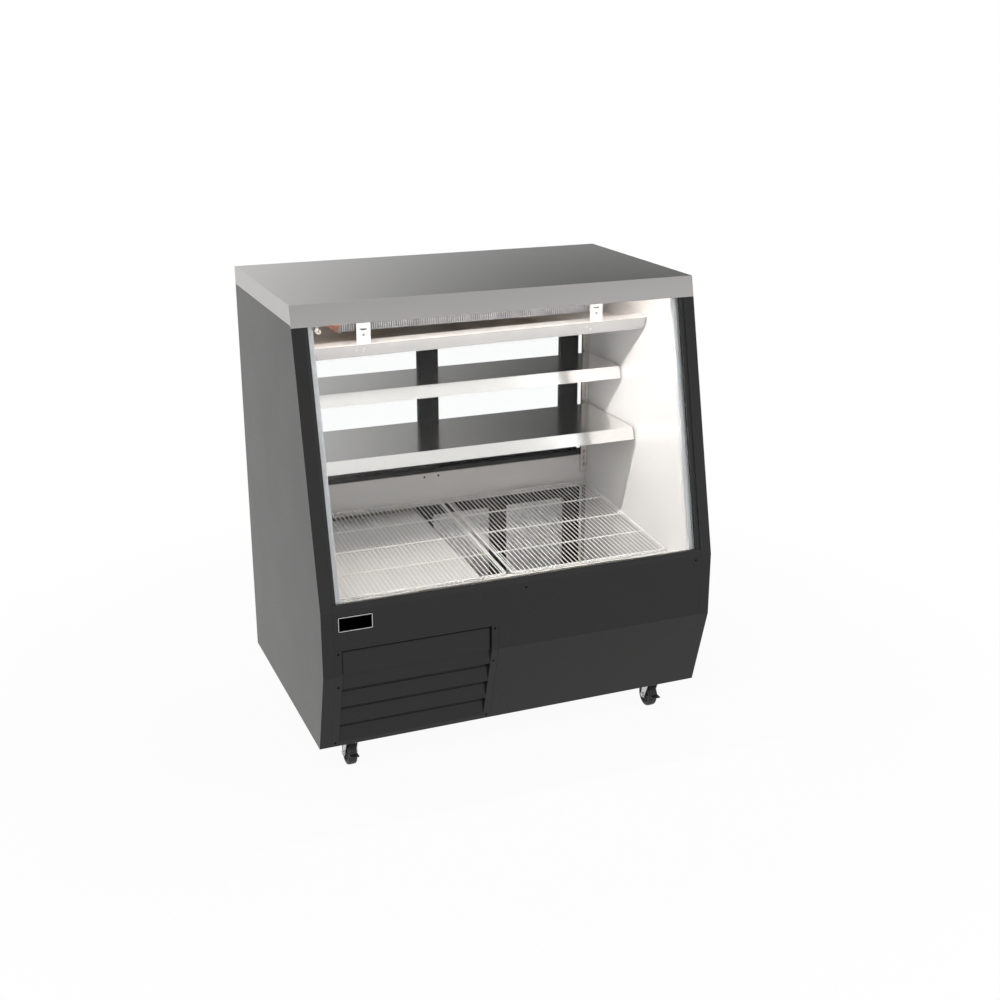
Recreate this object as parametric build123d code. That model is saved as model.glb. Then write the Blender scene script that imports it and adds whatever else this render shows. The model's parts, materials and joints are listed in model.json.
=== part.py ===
from build123d import *
import os
from math import atan, cos, degrees, hypot, sin

# Deli display case: refrigerated cabinet with a sloped glass front, sliding rear doors and casters.
# Millimetres. X runs to the right seen from the customer's side, Y towards the server, Z up.
# The origin is on the floor, under the middle of the case.

# Driving dimensions of the cabinet
width = 1220.0
height = 1377.0
counter_depth = 674.0
front_rake = 0.2318
caster_height = 110.0
knee_height = 561.6
toe_bend_height = 366.9
toe_setback = 75.7
skirt_front = 60.0
skirt_side = 54.0
counter_sheet = 2.0
core_thick = 38.0
skin = 1.5
wall_thick = 33.0
post_width = 34.0
fit_gap = 0.3
plate_proud = 1.2

# Driving dimensions of the glazed front
glass_setback = 12.0
pane_thick = 5.0
pane_space = 12.0
spacer_width = 17.0
gasket_width = 12.0
front_panel_rise = 18.4

# Driving dimensions of the rear opening and its doors
back_wall_depth = 52.0
back_liner_drop = 23.0
back_liner_height = 115.0
door_drop = 229.0
door_thick = 12.0
track_pitch = 18.0
stile_width = 66.0
door_end_gap = 24.0
door_rail = 24.0
door_glass_thick = 4.0
track_wall = 1.5
track_lip = 12.0
top_track_lip = 22.0

# Driving dimensions of the shelving
shelf_sheet = 1.5
shelf_end_gap = 9.0
upper_shelf_drop = 354.0
upper_shelf_depth = 217.0
lower_shelf_drop = 533.0
lower_shelf_depth = 324.0
shelf_lip_height = 37.0
shelf_lip_lean = 17.0
shelf_back_gap = 20.0
pilaster_width = 24.0
pilaster_depth = 10.0
pilaster_slot_pitch = 25.0

# Driving dimensions of the wire racks and the well below them
rack_back_height = 559.0
rack_front_height = 512.0
rack_depth = 597.0
rack_split = 33.0
rack_gap = 14.0
rack_wire = 3.0
rack_rim = 5.0
rack_pitch = 14.3
rack_bays = 4
rack_front_drop = 8.5
cover_top = 519.0
cover_fall = 0.029
cover_right = -55.0
cover_wall = 12.0
well_floor = 227.0
front_wall = 40.0
liner_sheet = 1.0
ledge_sheet = 1.2

# Driving dimensions of the cooling parts above the shelves
coil_end_gap = 172.0
coil_depth = 110.0
coil_height = 66.0
coil_drop = 135.0
fin_pitch = 9.0
fin_thick = 0.6
tube_radius = 4.8
pan_sheet = 1.2
pan_drop = 160.0
pan_fall = 12.0
pan_face_height = 30.0

# Driving dimensions of the casters
wheel_radius = 37.5
wheel_width = 28.0
caster_side_inset = 111.0
caster_front_inset = 63.2
caster_rear_inset = 82.1
caster_trail = 20.0
axle_radius = 4.0
running_gap = 0.05

# Values worked out from the driving dimensions
half_width = width / 2
depth = counter_depth + front_rake * (height - knee_height)
back_y = (depth + plate_proud) / 2
counter_front_y = back_y - counter_depth
knee_y = back_y - depth
toe_y = knee_y + toe_setback
inner_x = half_width - wall_thick
front_panel_top = knee_height + front_panel_rise
sill_height = front_panel_top - 8.0
unit_floor = caster_height + skin + fit_gap
seam_x = half_width - post_width
panel_top = height - skirt_side
core_bottom = height - counter_sheet - core_thick
back_inner_y = back_y - back_wall_depth
well_front_y = knee_y + front_wall
rake_stretch = hypot(1, front_rake)
back_liner_bottom = rack_back_height - back_liner_drop
back_liner_top = back_liner_bottom + back_liner_height
door_top = height - door_drop
door_reach = seam_x - door_end_gap
shelf_half_width = inner_x - shelf_end_gap
upper_shelf_height = height - upper_shelf_drop
lower_shelf_height = height - lower_shelf_drop
coil_half_length = inner_x - coil_end_gap
coil_bottom = height - coil_drop
pan_front_height = height - pan_drop
caster_x = half_width - caster_side_inset
caster_front_y = toe_y + caster_front_inset
caster_rear_y = back_y - caster_rear_inset


def front_y(z, inset=0.0):
    """Depth of the raked front plane at a height, moved inwards by a thickness square to it."""
    return counter_front_y + front_rake * (z - height) + inset * rake_stretch


def toe_inset_y(z, inset):
    """Depth of the inward-sloping lower front at a height, moved inwards by a thickness."""
    run = toe_setback / (toe_bend_height - caster_height)
    return knee_y + (toe_bend_height - z) * run + inset * hypot(1, run)


def block(x0, x1, y0, y1, z0, z1):
    """A box between two corners."""
    middle = Pos((x0 + x1) / 2, (y0 + y1) / 2, (z0 + z1) / 2)
    return middle * Box(x1 - x0, y1 - y0, z1 - z0)


def prism(points, x0, x1):
    """A side profile of (y, z) points carried along X."""
    profile = Plane.YZ.offset(x0) * make_face(Polyline(*points, close=True))
    return extrude(profile, amount=x1 - x0)


def bar_x(x0, x1, y, z, radius):
    """A round bar along X."""
    return Pos((x0 + x1) / 2, y, z) * Rot(0, 90, 0) * Cylinder(radius, x1 - x0)


def bar_y(x, y0, y1, z, radius):
    """A round bar along Y."""
    return Pos(x, (y0 + y1) / 2, z) * Rot(90, 0, 0) * Cylinder(radius, y1 - y0)


def bar_z(x, y, z0, z1, radius):
    """A round bar along Z."""
    return Pos(x, y, (z0 + z1) / 2) * Cylinder(radius, z1 - z0)


def mirrored(solid):
    """The same piece on the other side of the case."""
    return mirror(solid, about=Plane.YZ)


def group(pieces):
    """Separate solids kept in one node."""
    return Compound(children=[piece.solid() for piece in pieces])


def cover_height(y):
    """Height of the sloping compressor cover at a depth."""
    return cover_top - cover_fall * (back_inner_y - y)


def cabinet_outline(inset, low, high):
    """Side profile of the cabinet from a low to a high level, inset from every outer face."""
    slope_shift = inset * rake_stretch
    knee_z = knee_height - slope_shift / (1 + rake_stretch) * front_rake
    bend_y = knee_y + inset
    return [
        (toe_inset_y(low, inset), low),
        (bend_y, toe_bend_height),
        (bend_y, knee_z),
        (front_y(high, inset), high),
        (back_y - inset, high),
        (back_y - inset, low),
    ]


header_low = door_top + 14.0
header_rear_y = back_y - counter_sheet - fit_gap
control_x = inner_x - 107.0
control_half = 60.0
control_low = header_low + 60.0
control_high = 46.0


# Counter
def counter_top():
    """Folded steel cap: flat top and skirts on all four sides."""
    front_bottom = height - skirt_front
    side_bottom = height - skirt_side
    outer = prism(
        [
            (front_y(front_bottom), front_bottom),
            (counter_front_y, height),
            (back_y, height),
            (back_y, front_bottom),
        ],
        -half_width,
        half_width,
    )
    under = height - counter_sheet
    inner_back = back_y - counter_sheet
    hollow = prism(
        [
            (front_y(front_bottom - 1, counter_sheet), front_bottom - 1),
            (front_y(under, counter_sheet), under),
            (inner_back, under),
            (inner_back, front_bottom - 1),
        ],
        -half_width + counter_sheet,
        half_width - counter_sheet,
    )
    shell = outer - hollow
    side_relief = block(
        -half_width - 1,
        half_width + 1,
        front_y(side_bottom, counter_sheet),
        back_y + 1,
        front_bottom - 1,
        side_bottom,
    )
    return shell - side_relief


def counter_core():
    """Stiff board glued under the steel top."""
    gap = counter_sheet + fit_gap
    under = height - gap
    return prism(
        [
            (front_y(core_bottom, gap), core_bottom),
            (front_y(under, gap), under),
            (back_y - gap, under),
            (back_y - gap, core_bottom),
        ],
        -half_width + gap,
        half_width - gap,
    )


# Cabinet walls
def side_panel_left():
    """Black outer side: one sheet with a flange turned in all round its edge."""
    top = panel_top
    outer = prism(cabinet_outline(0, caster_height, top), -half_width, -seam_x)
    pocket = prism(
        cabinet_outline(skin, caster_height + skin, top + 1),
        -half_width + skin,
        -seam_x + 1,
    )
    low = height - skirt_front - fit_gap
    high = top + 1
    behind = front_y(top, counter_sheet) + fit_gap
    room_points = [(front_y(low, -1), low), (front_y(high, -1), high), (behind, high), (behind, low)]
    skirt_room = prism(room_points, -half_width - 1, -seam_x + 2)
    return outer - pocket - skirt_room


def wall_foam():
    """Foam slabs inside both sides, inside the front of the well and inside the lower back."""
    low = unit_floor
    gap = skin + fit_gap
    outline = cabinet_outline(gap, low, height - skirt_front - fit_gap)
    left = prism(outline, -half_width + gap, -inner_x - liner_sheet - fit_gap)
    under_floor = well_floor - liner_sheet - fit_gap
    wall_back = front_wall - fit_gap
    front_points = [
        (toe_inset_y(low, gap), low),
        (knee_y + gap, toe_bend_height),
        (knee_y + gap, knee_height),
        (front_y(sill_height, gap), sill_height),
        (knee_y + wall_back, sill_height),
        (knee_y + wall_back, toe_bend_height),
        (toe_inset_y(under_floor, wall_back), under_floor),
        (back_inner_y, under_floor),
        (back_inner_y, low),
    ]
    front = prism(front_points, cover_right + fit_gap, seam_x - fit_gap)
    beam_low = cover_height(well_front_y) + fit_gap
    beam_points = [
        (knee_y + gap, beam_low),
        (knee_y + gap, knee_height),
        (front_y(sill_height, gap), sill_height),
        (knee_y + wall_back, sill_height),
        (knee_y + wall_back, beam_low),
    ]
    beam = prism(beam_points, -seam_x + fit_gap, cover_right + 2 * fit_gap)
    back_front_y = duct_y + duct_depth + fit_gap
    back_rear_y = back_y - skin - 2 * fit_gap
    back_top = back_liner_top - fit_gap
    edge = seam_x - fit_gap
    back = block(-edge, edge, back_front_y, back_rear_y, well_floor - liner_sheet, back_top)
    return group([left, mirrored(left), front + beam, back])


def side_liners():
    """White inner sheets on both sides of the display space."""
    low = unit_floor
    gap = glass_setback + 2 * pane_thick + pane_space + fit_gap
    wall = front_wall + liner_sheet + fit_gap
    outline = [
        (toe_inset_y(low, wall), low),
        (knee_y + wall, toe_bend_height),
        (knee_y + wall, knee_height),
        (front_y(core_bottom - fit_gap, gap), core_bottom - fit_gap),
        (back_inner_y - fit_gap, core_bottom - fit_gap),
        (back_inner_y - fit_gap, low),
    ]
    left = prism(outline, -inner_x - liner_sheet, -inner_x)
    return group([left, mirrored(left)])


def base_tray():
    """Steel floor of the cabinet, carried by the casters."""
    gap = skin + fit_gap
    low = caster_height
    return prism(
        [
            (toe_inset_y(low, gap), low),
            (toe_inset_y(low + skin, gap), low + skin),
            (back_y - gap, low + skin),
            (back_y - gap, low),
        ],
        -seam_x + fit_gap,
        seam_x - fit_gap,
    )


# Front below the glass
grille_left = -seam_x
grille_right = -85.5
grille_top = 448.0
grille_flange = 21.5
slat_pitch = 64.5
slat_count = 4
slat_recess = 14.0
slat_face = 47.0
slat_lip = 15.0


def front_skin_points(outer, inner, low, high):
    """Profile of a bent sheet that follows the lower front between two insets."""
    face = [
        (toe_inset_y(low, outer), low),
        (knee_y + outer, toe_bend_height),
    ]
    rear = [
        (knee_y + inner, toe_bend_height),
        (toe_inset_y(low, inner), low),
    ]
    if high > knee_height:
        face += [(knee_y + outer, knee_height), (front_y(high, outer), high)]
        rear = [(front_y(high, inner), high), (knee_y + inner, knee_height)] + rear
    else:
        face += [(knee_y + outer, high)]
        rear = [(knee_y + inner, high)] + rear
    return face + rear


def front_panel():
    """Black lower front, bent at the knee and the toe, with the opening for the air grille."""
    sheet = prism(
        front_skin_points(0, skin, caster_height, front_panel_top), -seam_x + fit_gap, seam_x - fit_gap
    )
    opening = block(
        grille_left - 1,
        grille_right + fit_gap,
        knee_y - 1,
        toe_y + 40,
        caster_height - 1,
        grille_top + fit_gap,
    )
    return sheet - opening


def slat_profile(index):
    """One louvre of the grille: a face that comes forward as it drops, and a lip turned back."""
    top = toe_bend_height - index * slat_pitch
    bottom = top - slat_face
    lip_bottom = bottom - slat_lip
    face_front = toe_inset_y(bottom, 0)
    recess = toe_inset_y(top, slat_recess)
    lip_y = toe_inset_y(lip_bottom, slat_recess - 2)
    face = [(recess, top), (face_front, bottom)]
    rear = [(face_front + skin * 1.5, bottom), (recess + skin, top)]
    if index == slat_count - 1:
        return face + rear
    return face + [(lip_y, lip_bottom), (lip_y + skin, lip_bottom)] + rear


def grille_panel():
    """Louvred air grille in front of the condensing unit."""
    frame_sheet = prism(
        front_skin_points(0, skin, caster_height, grille_top),
        grille_left + fit_gap,
        grille_right - fit_gap,
    )
    mouth = block(
        grille_left + grille_flange,
        grille_right - grille_flange,
        knee_y - 1,
        toe_y + 40,
        caster_height + 16,
        grille_top - 4,
    )
    grille = frame_sheet - mouth
    left = grille_left + grille_flange
    right = grille_right - grille_flange
    back_sheet = block(
        left - 2, right + 2, knee_y + 8, knee_y + 8 + skin, toe_bend_height - 1, grille_top
    )
    ledge_top = grille_top - 4
    ledge_rear = knee_y + 8 + skin
    ledge = block(left - 2, right + 2, knee_y + skin / 2, ledge_rear, ledge_top - skin, ledge_top)
    grille = grille + back_sheet + ledge
    for index in range(slat_count):
        grille = grille + prism(slat_profile(index), left - 2, right + 2)
    for side in (left - 2, right + 0.5):
        cheek_points = [
            (toe_inset_y(caster_height + 10, 0.7), caster_height + 10),
            (knee_y + 0.7, toe_bend_height),
            (knee_y + 0.7, grille_top),
            (knee_y + slat_recess + 3, grille_top),
            (knee_y + slat_recess + 3, toe_bend_height),
            (toe_inset_y(caster_height + 10, slat_recess + 4), caster_height + 10),
        ]
        grille = grille + prism(cheek_points, side, side + skin)
    return grille


screw_head = 3.5
ledge_screw_head = 2.5
screw_proud = plate_proud
screw_seat_gap = 0.02
seam_to_screw = 11.5


def cabinet_screws():
    """Pan-head screws: front panel, grille, rear wall of the well and shelf standards."""
    heads = []
    front = knee_y - screw_proud
    seat = knee_y - screw_seat_gap
    for x in (0.0, seam_x - 17.3):
        heads.append(bar_y(x, front, seat, knee_height - 14.1, screw_head))
    for x in (grille_left + seam_to_screw, grille_right - seam_to_screw):
        heads.append(bar_y(x, front, seat, grille_top - 14.0, screw_head))
        for low_z in (toe_bend_height - 39.9, caster_height + 12.0):
            slope = atan(toe_setback / (toe_bend_height - caster_height))
            out = screw_proud / 2 + screw_seat_gap
            head = Rot(90 + degrees(slope), 0, 0) * Cylinder(screw_head, screw_proud)
            face = toe_inset_y(low_z, 0)
            heads.append(Pos(x, face - out * cos(slope), low_z - out * sin(slope)) * head)
    ledge_face = back_inner_y - fit_gap - ledge_sheet
    ledge_front = ledge_face - screw_proud
    ledge_seat = ledge_face - screw_seat_gap
    for x in (-253.5, 0.0, 253.5):
        heads.append(bar_y(x, ledge_front, ledge_seat, rack_back_height - 13.0, ledge_screw_head))
    return group(heads)


plate_width = 102.0
plate_height = 46.0
plate_corner = 5.0


def name_plate():
    """Blank plate on the front panel."""
    left = -seam_x + 13.0
    high = knee_height - 16.6
    front = knee_y - plate_proud
    plate = block(left, left + plate_width, front, knee_y - screw_seat_gap, high - plate_height, high)
    return fillet(plate.edges().filter_by(Axis.Y), plate_corner)


# Glazed front
def pane_points(outer, inner):
    """Profile of a sheet parallel to the raked front."""
    low = sill_height + fit_gap
    high = core_bottom - fit_gap
    return [
        (front_y(low, outer), low),
        (front_y(high, outer), high),
        (front_y(high, inner), high),
        (front_y(low, inner), low),
    ]


def front_glass(setback):
    """One full-width pane of the double glazing."""
    edge = seam_x - fit_gap
    return prism(pane_points(setback, setback + pane_thick), -edge, edge)


def glass_spacer():
    """Desiccant spacer bars between the two panes along both sides."""
    start = glass_setback + pane_thick
    points = pane_points(start, start + pane_space)
    outer = seam_x - fit_gap
    left = prism(points, -outer + gasket_width, -outer + gasket_width + spacer_width)
    return group([left, mirrored(left)])


def glass_gasket():
    """Black side seals that close the pocket between post and glass."""
    edge = seam_x - fit_gap
    face_points = pane_points(skin + 1.5, glass_setback)
    face = prism(face_points, -edge, -edge + gasket_width)
    start = glass_setback + pane_thick
    seal = prism(pane_points(start, start + pane_space), -edge, -edge + gasket_width)
    return group([face, seal, mirrored(face), mirrored(seal)])


# Rear wall
def back_liner():
    """White sheet below the doors, with two small holes, folded over under the track."""
    front = back_inner_y
    sheet = block(-inner_x, inner_x, front, front + liner_sheet, back_liner_bottom, back_liner_top)
    fold = block(-inner_x, inner_x, front, front + 16, back_liner_bottom, back_liner_bottom + liner_sheet)
    liner = sheet + fold
    for x in (-25.0, 25.0):
        liner = liner - bar_y(x, front - 1, front + 3, back_liner_top - 12.0, 2.6)
    return liner


duct_y = back_inner_y + 18.0
duct_band = 42.0
duct_leg = 60.0
duct_legs = (-19.0, 250.5, inner_x - 45.0)
duct_depth = 12.0


def rear_duct_frame():
    """Black frame with three legs at the back of the well, under the white wall."""
    top = back_liner_bottom - fit_gap
    right = duct_legs[-1] + duct_leg / 2
    left = duct_legs[0] - duct_leg / 2
    band = block(left, right, duct_y, duct_y + duct_depth, top - duct_band, top)
    frame = band
    for x in duct_legs:
        leg = block(
            x - duct_leg / 2, x + duct_leg / 2, duct_y, duct_y + duct_depth, well_floor + fit_gap, top - 1
        )
        frame = frame + leg
    return frame


vent_rows = 10
vent_slot = (300.0, 6.0)
vent_pitch = 16.0
vent_left = -inner_x + 97.0


def back_panel():
    """Black outer sheet of the lower back, with vent slots behind the condensing unit."""
    rear = back_y - fit_gap
    top = back_liner_top - fit_gap
    sheet = block(-seam_x + fit_gap, seam_x - fit_gap, rear - skin, rear, caster_height + skin + 1, top)
    for row in range(vent_rows):
        z = caster_height + 70.0 + row * vent_pitch
        sheet = sheet - block(
            vent_left, vent_left + vent_slot[0], rear - skin - 1, rear + 1, z, z + vent_slot[1]
        )
    return sheet


def rear_header():
    """Black box section above the doors, open where the control box shows."""
    edge = seam_x - fit_gap
    outer = block(-edge, edge, back_inner_y, header_rear_y, header_low, core_bottom - fit_gap)
    inner = block(
        -edge + skin, edge - skin, back_inner_y + skin, header_rear_y - skin, header_low + skin, core_bottom
    )
    window = block(
        control_x - control_half - fit_gap,
        control_x + control_half + fit_gap,
        header_rear_y - skin - 1,
        header_rear_y + 1,
        control_low - fit_gap,
        control_low + control_high + fit_gap,
    )
    return outer - inner - window


track_y0 = back_inner_y + 5.0
door_inner_y = track_y0 + 5.0
door_outer_y = door_inner_y + track_pitch


def track(low, direction, lip):
    """Black channel with two running grooves, opening up (1) or down (-1)."""
    rear = door_outer_y + door_thick + 5.0
    base_low, base_high = sorted((low, low + direction * track_wall))
    channel = block(-seam_x + fit_gap, seam_x - fit_gap, track_y0, rear, base_low, base_high)
    lip_low, lip_high = sorted((low, low + direction * lip))
    middle = door_inner_y + door_thick + (track_pitch - door_thick) / 2
    for y in (track_y0, middle - track_wall / 2, rear - track_wall):
        channel = channel + block(
            -seam_x + fit_gap, seam_x - fit_gap, y, y + track_wall, lip_low, lip_high
        )
    return channel


door_low = back_liner_top + track_wall + fit_gap


def door_frame(left_x, right_x, near_y, pull_side):
    """Black frame of one sliding door with an upright pull on its outer stile."""
    frame = block(left_x, right_x, near_y, near_y + door_thick, door_low, door_top)
    light = block(
        left_x + stile_width,
        right_x - stile_width,
        near_y - 1,
        near_y + door_thick + 1,
        door_low + door_rail,
        door_top - door_rail,
    )
    groove_y = near_y + door_thick / 2
    groove = block(
        left_x + stile_width - 8,
        right_x - stile_width + 8,
        groove_y - door_glass_thick / 2 - fit_gap,
        groove_y + door_glass_thick / 2 + fit_gap,
        door_low + door_rail - 8,
        door_top - door_rail + 8,
    )
    pull_x = right_x - stile_width / 2 if pull_side > 0 else left_x + stile_width / 2
    pull = block(
        pull_x - 11, pull_x + 11, near_y + door_thick - 5, near_y + door_thick + 1, 850.0, 960.0
    )
    return frame - light - groove - pull


def door_glass(left_x, right_x, near_y):
    """Clear pane of one sliding door."""
    middle = near_y + door_thick / 2
    return block(
        left_x + stile_width - 6,
        right_x - stile_width + 6,
        middle - door_glass_thick / 2,
        middle + door_glass_thick / 2,
        door_low + door_rail - 7.9,
        door_top - door_rail + 6,
    )


# Shelving
pilaster_front = back_inner_y - pilaster_depth


def pilasters():
    """Slotted standards in the two rear corners."""
    right = inner_x - 2.0
    left = right - pilaster_width
    top = core_bottom - fit_gap
    low = back_liner_top - 60.0
    body = block(left, right, pilaster_front, back_inner_y - fit_gap, low, top)
    body = body - block(
        left + 2, right - 2, pilaster_front + 1.5, back_inner_y + 1, low - 1, top + 1
    )
    slot_count = int((top - low - 40) / pilaster_slot_pitch)
    for index in range(slot_count):
        z = low + 20 + index * pilaster_slot_pitch
        middle = (left + right) / 2
        body = body - block(
            middle - 2, middle + 2, pilaster_front - 1, pilaster_front + 2, z, z + 14
        )
    return group([body, mirrored(body)])


def shelf(top, shelf_depth):
    """Folded steel shelf with a leaning front lip for price tags."""
    rear = pilaster_front - shelf_back_gap
    front = rear - shelf_depth
    low = top - shelf_sheet
    points = [
        (front, top),
        (rear, top),
        (rear, low - 10),
        (rear - shelf_sheet, low - 10),
        (rear - shelf_sheet, low),
        (front + shelf_sheet, low),
        (front - shelf_lip_lean + shelf_sheet, top - shelf_lip_height + 1),
        (front - shelf_lip_lean + 10, top - shelf_lip_height + 1),
        (front - shelf_lip_lean + 10, top - shelf_lip_height),
        (front - shelf_lip_lean, top - shelf_lip_height),
    ]
    return prism(points, -shelf_half_width, shelf_half_width)


def shelf_brackets():
    """Tapered arms that hook into the standards and carry both shelves."""
    arms = []
    middle = inner_x - 2.0 - pilaster_width / 2
    for top, reach in ((upper_shelf_height, upper_shelf_depth), (lower_shelf_height, lower_shelf_depth)):
        under = top - shelf_sheet - fit_gap
        rear = pilaster_front - fit_gap
        points = [
            (rear - reach, under),
            (rear - shelf_back_gap - 4, under),
            (rear - shelf_back_gap - 4, under - 14),
            (rear, under - 14),
            (rear, under - 70),
            (rear - reach, under - 20),
        ]
        arm = prism(points, middle - 1, middle + 1)
        arms += [arm, mirrored(arm)]
    return group(arms)


# Wire racks, drawn as flat nets of bars in the place of the wires
rack_slope = atan((rack_back_height - rack_front_height) / rack_depth)
rack_length = hypot(rack_depth, rack_back_height - rack_front_height)
rack_back_y = back_inner_y - 10.0
rack_side = inner_x - 5.0


def rack(left_x, right_x):
    """One sloping wire rack with its front ends turned down."""
    across = right_x - left_x
    wire_count = int((across - 2 * rack_rim) / rack_pitch)
    spacing = (across - rack_rim) / wire_count
    bay = (rack_length - rack_rim) / rack_bays
    centre_x = (left_x + right_x) / 2
    outline = Rectangle(across, rack_length)
    openings = []
    for column in range(wire_count):
        for row in range(rack_bays):
            x = -across / 2 + rack_rim / 2 + spacing * (column + 0.5)
            y = -rack_length / 2 + rack_rim / 2 + bay * (row + 0.5)
            openings.append(Pos(x, y) * Rectangle(spacing - rack_wire, bay - rack_rim))
    net = extrude(outline - openings, amount=-rack_rim)
    front_lip = Pos(0, -rack_length / 2 + rack_wire / 2, -rack_front_drop / 2) * Box(
        across, rack_wire, rack_front_drop
    )
    place = Pos(centre_x, rack_back_y - rack_depth / 2, (rack_back_height + rack_front_height) / 2)
    return place * Rot(degrees(rack_slope), 0, 0) * (net + front_lip)


def rack_supports():
    """White angles under both ends of the racks, screwed to the rear wall and the front wall."""
    reach = rack_side
    under = rack_back_height - rack_rim - fit_gap
    slope = (rack_back_height - rack_front_height) / rack_depth
    ledge_y = back_inner_y - 22.0
    rear_top = under - slope * 12
    rear = block(-reach, reach, ledge_y, back_inner_y - fit_gap, rear_top - 1.5, rear_top)
    rear = rear + block(
        -reach, reach, back_inner_y - fit_gap - ledge_sheet, back_inner_y - fit_gap, rear_top - 16, rear_top
    )
    front_y0 = rack_back_y - rack_depth
    low = rack_front_height - rack_front_drop - fit_gap - 1.0
    front = block(
        cover_right + 2, reach, well_front_y + liner_sheet + fit_gap, front_y0 + 14, low - 1.5, low
    )
    return group([rear, front])


# Well under the racks
def well_tub():
    """White lining of the deep well on the right and of the front sill."""
    side = inner_x - fit_gap
    floor_left = cover_right + fit_gap
    back = back_inner_y + 16
    inner = front_wall + liner_sheet
    bottom = well_floor - liner_sheet
    points = [
        (well_front_y, sill_height),
        (well_front_y, toe_bend_height),
        (toe_inset_y(bottom, front_wall), bottom),
        (back, bottom),
        (back, well_floor),
        (toe_inset_y(well_floor, inner), well_floor),
        (knee_y + inner, toe_bend_height),
        (knee_y + inner, sill_height),
    ]
    tub = prism(points, floor_left, side)
    strip_low = cover_height(well_front_y) + fit_gap
    strip = block(-side, floor_left + 1, well_front_y, well_front_y + liner_sheet, strip_low, sill_height)
    return tub + strip


def compressor_cover():
    """White insulated box lid over the condensing unit."""
    left = -inner_x + fit_gap
    wall = front_wall + liner_sheet + fit_gap
    front = knee_y + wall
    rear = back_inner_y + 16
    lid_points = [
        (front, cover_height(front)),
        (rear, cover_height(rear)),
        (rear, cover_height(rear) - cover_wall),
        (front, cover_height(front) - cover_wall),
    ]
    lid = prism(lid_points, left, cover_right)
    cheek_points = [
        (front, cover_height(front) - 1),
        (rear, cover_height(rear) - 1),
        (rear, unit_floor),
        (toe_inset_y(unit_floor, wall), unit_floor),
        (front, toe_bend_height),
    ]
    cheek = prism(cheek_points, cover_right - cover_wall, cover_right)
    back_wall = block(
        left, cover_right, rear - cover_wall, rear, well_floor + 120, cover_height(rear) - 1
    )
    return lid + cheek + back_wall


# Cooling parts above the shelves
coil_front_y = counter_front_y + 235.0
coil_rows = 3
coil_levels = 2


def tube_centres():
    """Cross-section places of the coil's tubes."""
    row_step = coil_depth / coil_rows
    level_step = coil_height / coil_levels
    places = []
    for row in range(coil_rows):
        for level in range(coil_levels):
            y = coil_front_y + row_step * (row + 0.5)
            z = coil_bottom + level_step * (level + 0.5)
            places.append((y, z))
    return places


def coil_fins():
    """Stack of thin aluminium fins with holes for the tubes."""
    middle_y = coil_front_y + coil_depth / 2
    middle_z = coil_bottom + coil_height / 2
    outline = Rectangle(coil_depth, coil_height)
    for y, z in tube_centres():
        outline = outline - Pos(y - middle_y, z - middle_z) * Circle(tube_radius + running_gap)
    count = int(2 * coil_half_length / fin_pitch)
    first = -fin_pitch * (count - 1) / 2
    fin = extrude(Plane.YZ * outline, amount=fin_thick)
    fins = []
    for index in range(count):
        fins.append(Pos(first + index * fin_pitch, middle_y, middle_z) * fin)
    return group(fins)


coil_plate = 1.5


def coil_tubes():
    """Copper tubes through the fins, with return bends joined in pairs, and both end plates."""
    end = coil_half_length + 3.0
    bend_out = 18.0
    tubes = []
    centres = tube_centres()
    for row in range(coil_rows):
        (y_low, z_low), (y_high, z_high) = centres[2 * row], centres[2 * row + 1]
        pair = bar_x(-end, end, y_low, z_low, tube_radius) + bar_x(-end, end, y_high, z_high, tube_radius)
        middle_z = (z_low + z_high) / 2
        bend_radius = (z_high - z_low) / 2
        half_ring = Torus(bend_radius, tube_radius)
        ring = Pos(-end, y_low, middle_z) * Rot(90, 0, 0) * half_ring
        keep = block(-end - 60, -end, y_low - 30, y_low + 30, z_low - 30, z_high + 30)
        pair = pair + (ring & keep)
        tubes.append(pair)
    return group(tubes)


def coil_end_plates():
    """Plates at both ends that hang the coil from the counter and carry the tubes."""
    low = coil_bottom - 4
    top = core_bottom - fit_gap
    near = coil_half_length + 1
    plate = block(near, near + coil_plate, coil_front_y - 4, coil_front_y + coil_depth + 4, low, top)
    for y, z in tube_centres():
        plate = plate - bar_x(coil_half_length - 5, coil_half_length + 10, y, z, tube_radius + running_gap)
    return group([plate, mirrored(plate)])


pan_front_inset = 206.0
pan_rear_gap = 14.0
pan_end_gap = 3.0
pan_rim = 26.0
pan_face_run = 14.0
pan_rear_rise = 20.0
pan_front_y = counter_front_y + pan_front_inset
pan_rear_y = back_inner_y - pan_rear_gap
pan_half = inner_x - pan_end_gap


def drain_pan():
    """White pan under the coil, falling to its drain at the left."""
    fall = degrees(atan(pan_fall / (2 * pan_half)))
    top = pan_front_height - pan_fall / 2
    floor_low = top - pan_face_height
    points = [
        (pan_front_y + pan_rim, top),
        (pan_front_y, top),
        (pan_front_y + pan_face_run, floor_low),
        (pan_rear_y, floor_low),
        (pan_rear_y, top + pan_rear_rise),
        (pan_rear_y - pan_sheet, top + pan_rear_rise),
        (pan_rear_y - pan_sheet, floor_low + pan_sheet),
        (pan_front_y + pan_face_run + 1, floor_low + pan_sheet),
        (pan_front_y + 2.0, top - pan_sheet),
        (pan_front_y + pan_rim, top - pan_sheet),
    ]
    length = pan_half - 1.0
    pan = prism(points, -length, length)
    end_points = [
        (pan_front_y + 1.0, top - 0.5),
        (pan_front_y + pan_face_run, floor_low + 0.5),
        (pan_rear_y - 0.5, floor_low + 0.5),
        (pan_rear_y - 0.5, top + pan_rear_rise - 1),
    ]
    for x in (-length, length - pan_sheet):
        pan = pan + prism(end_points, x, x + pan_sheet)
    return Pos(0, 0, top) * Rot(0, -fall, 0) * Pos(0, 0, -top) * pan


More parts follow.
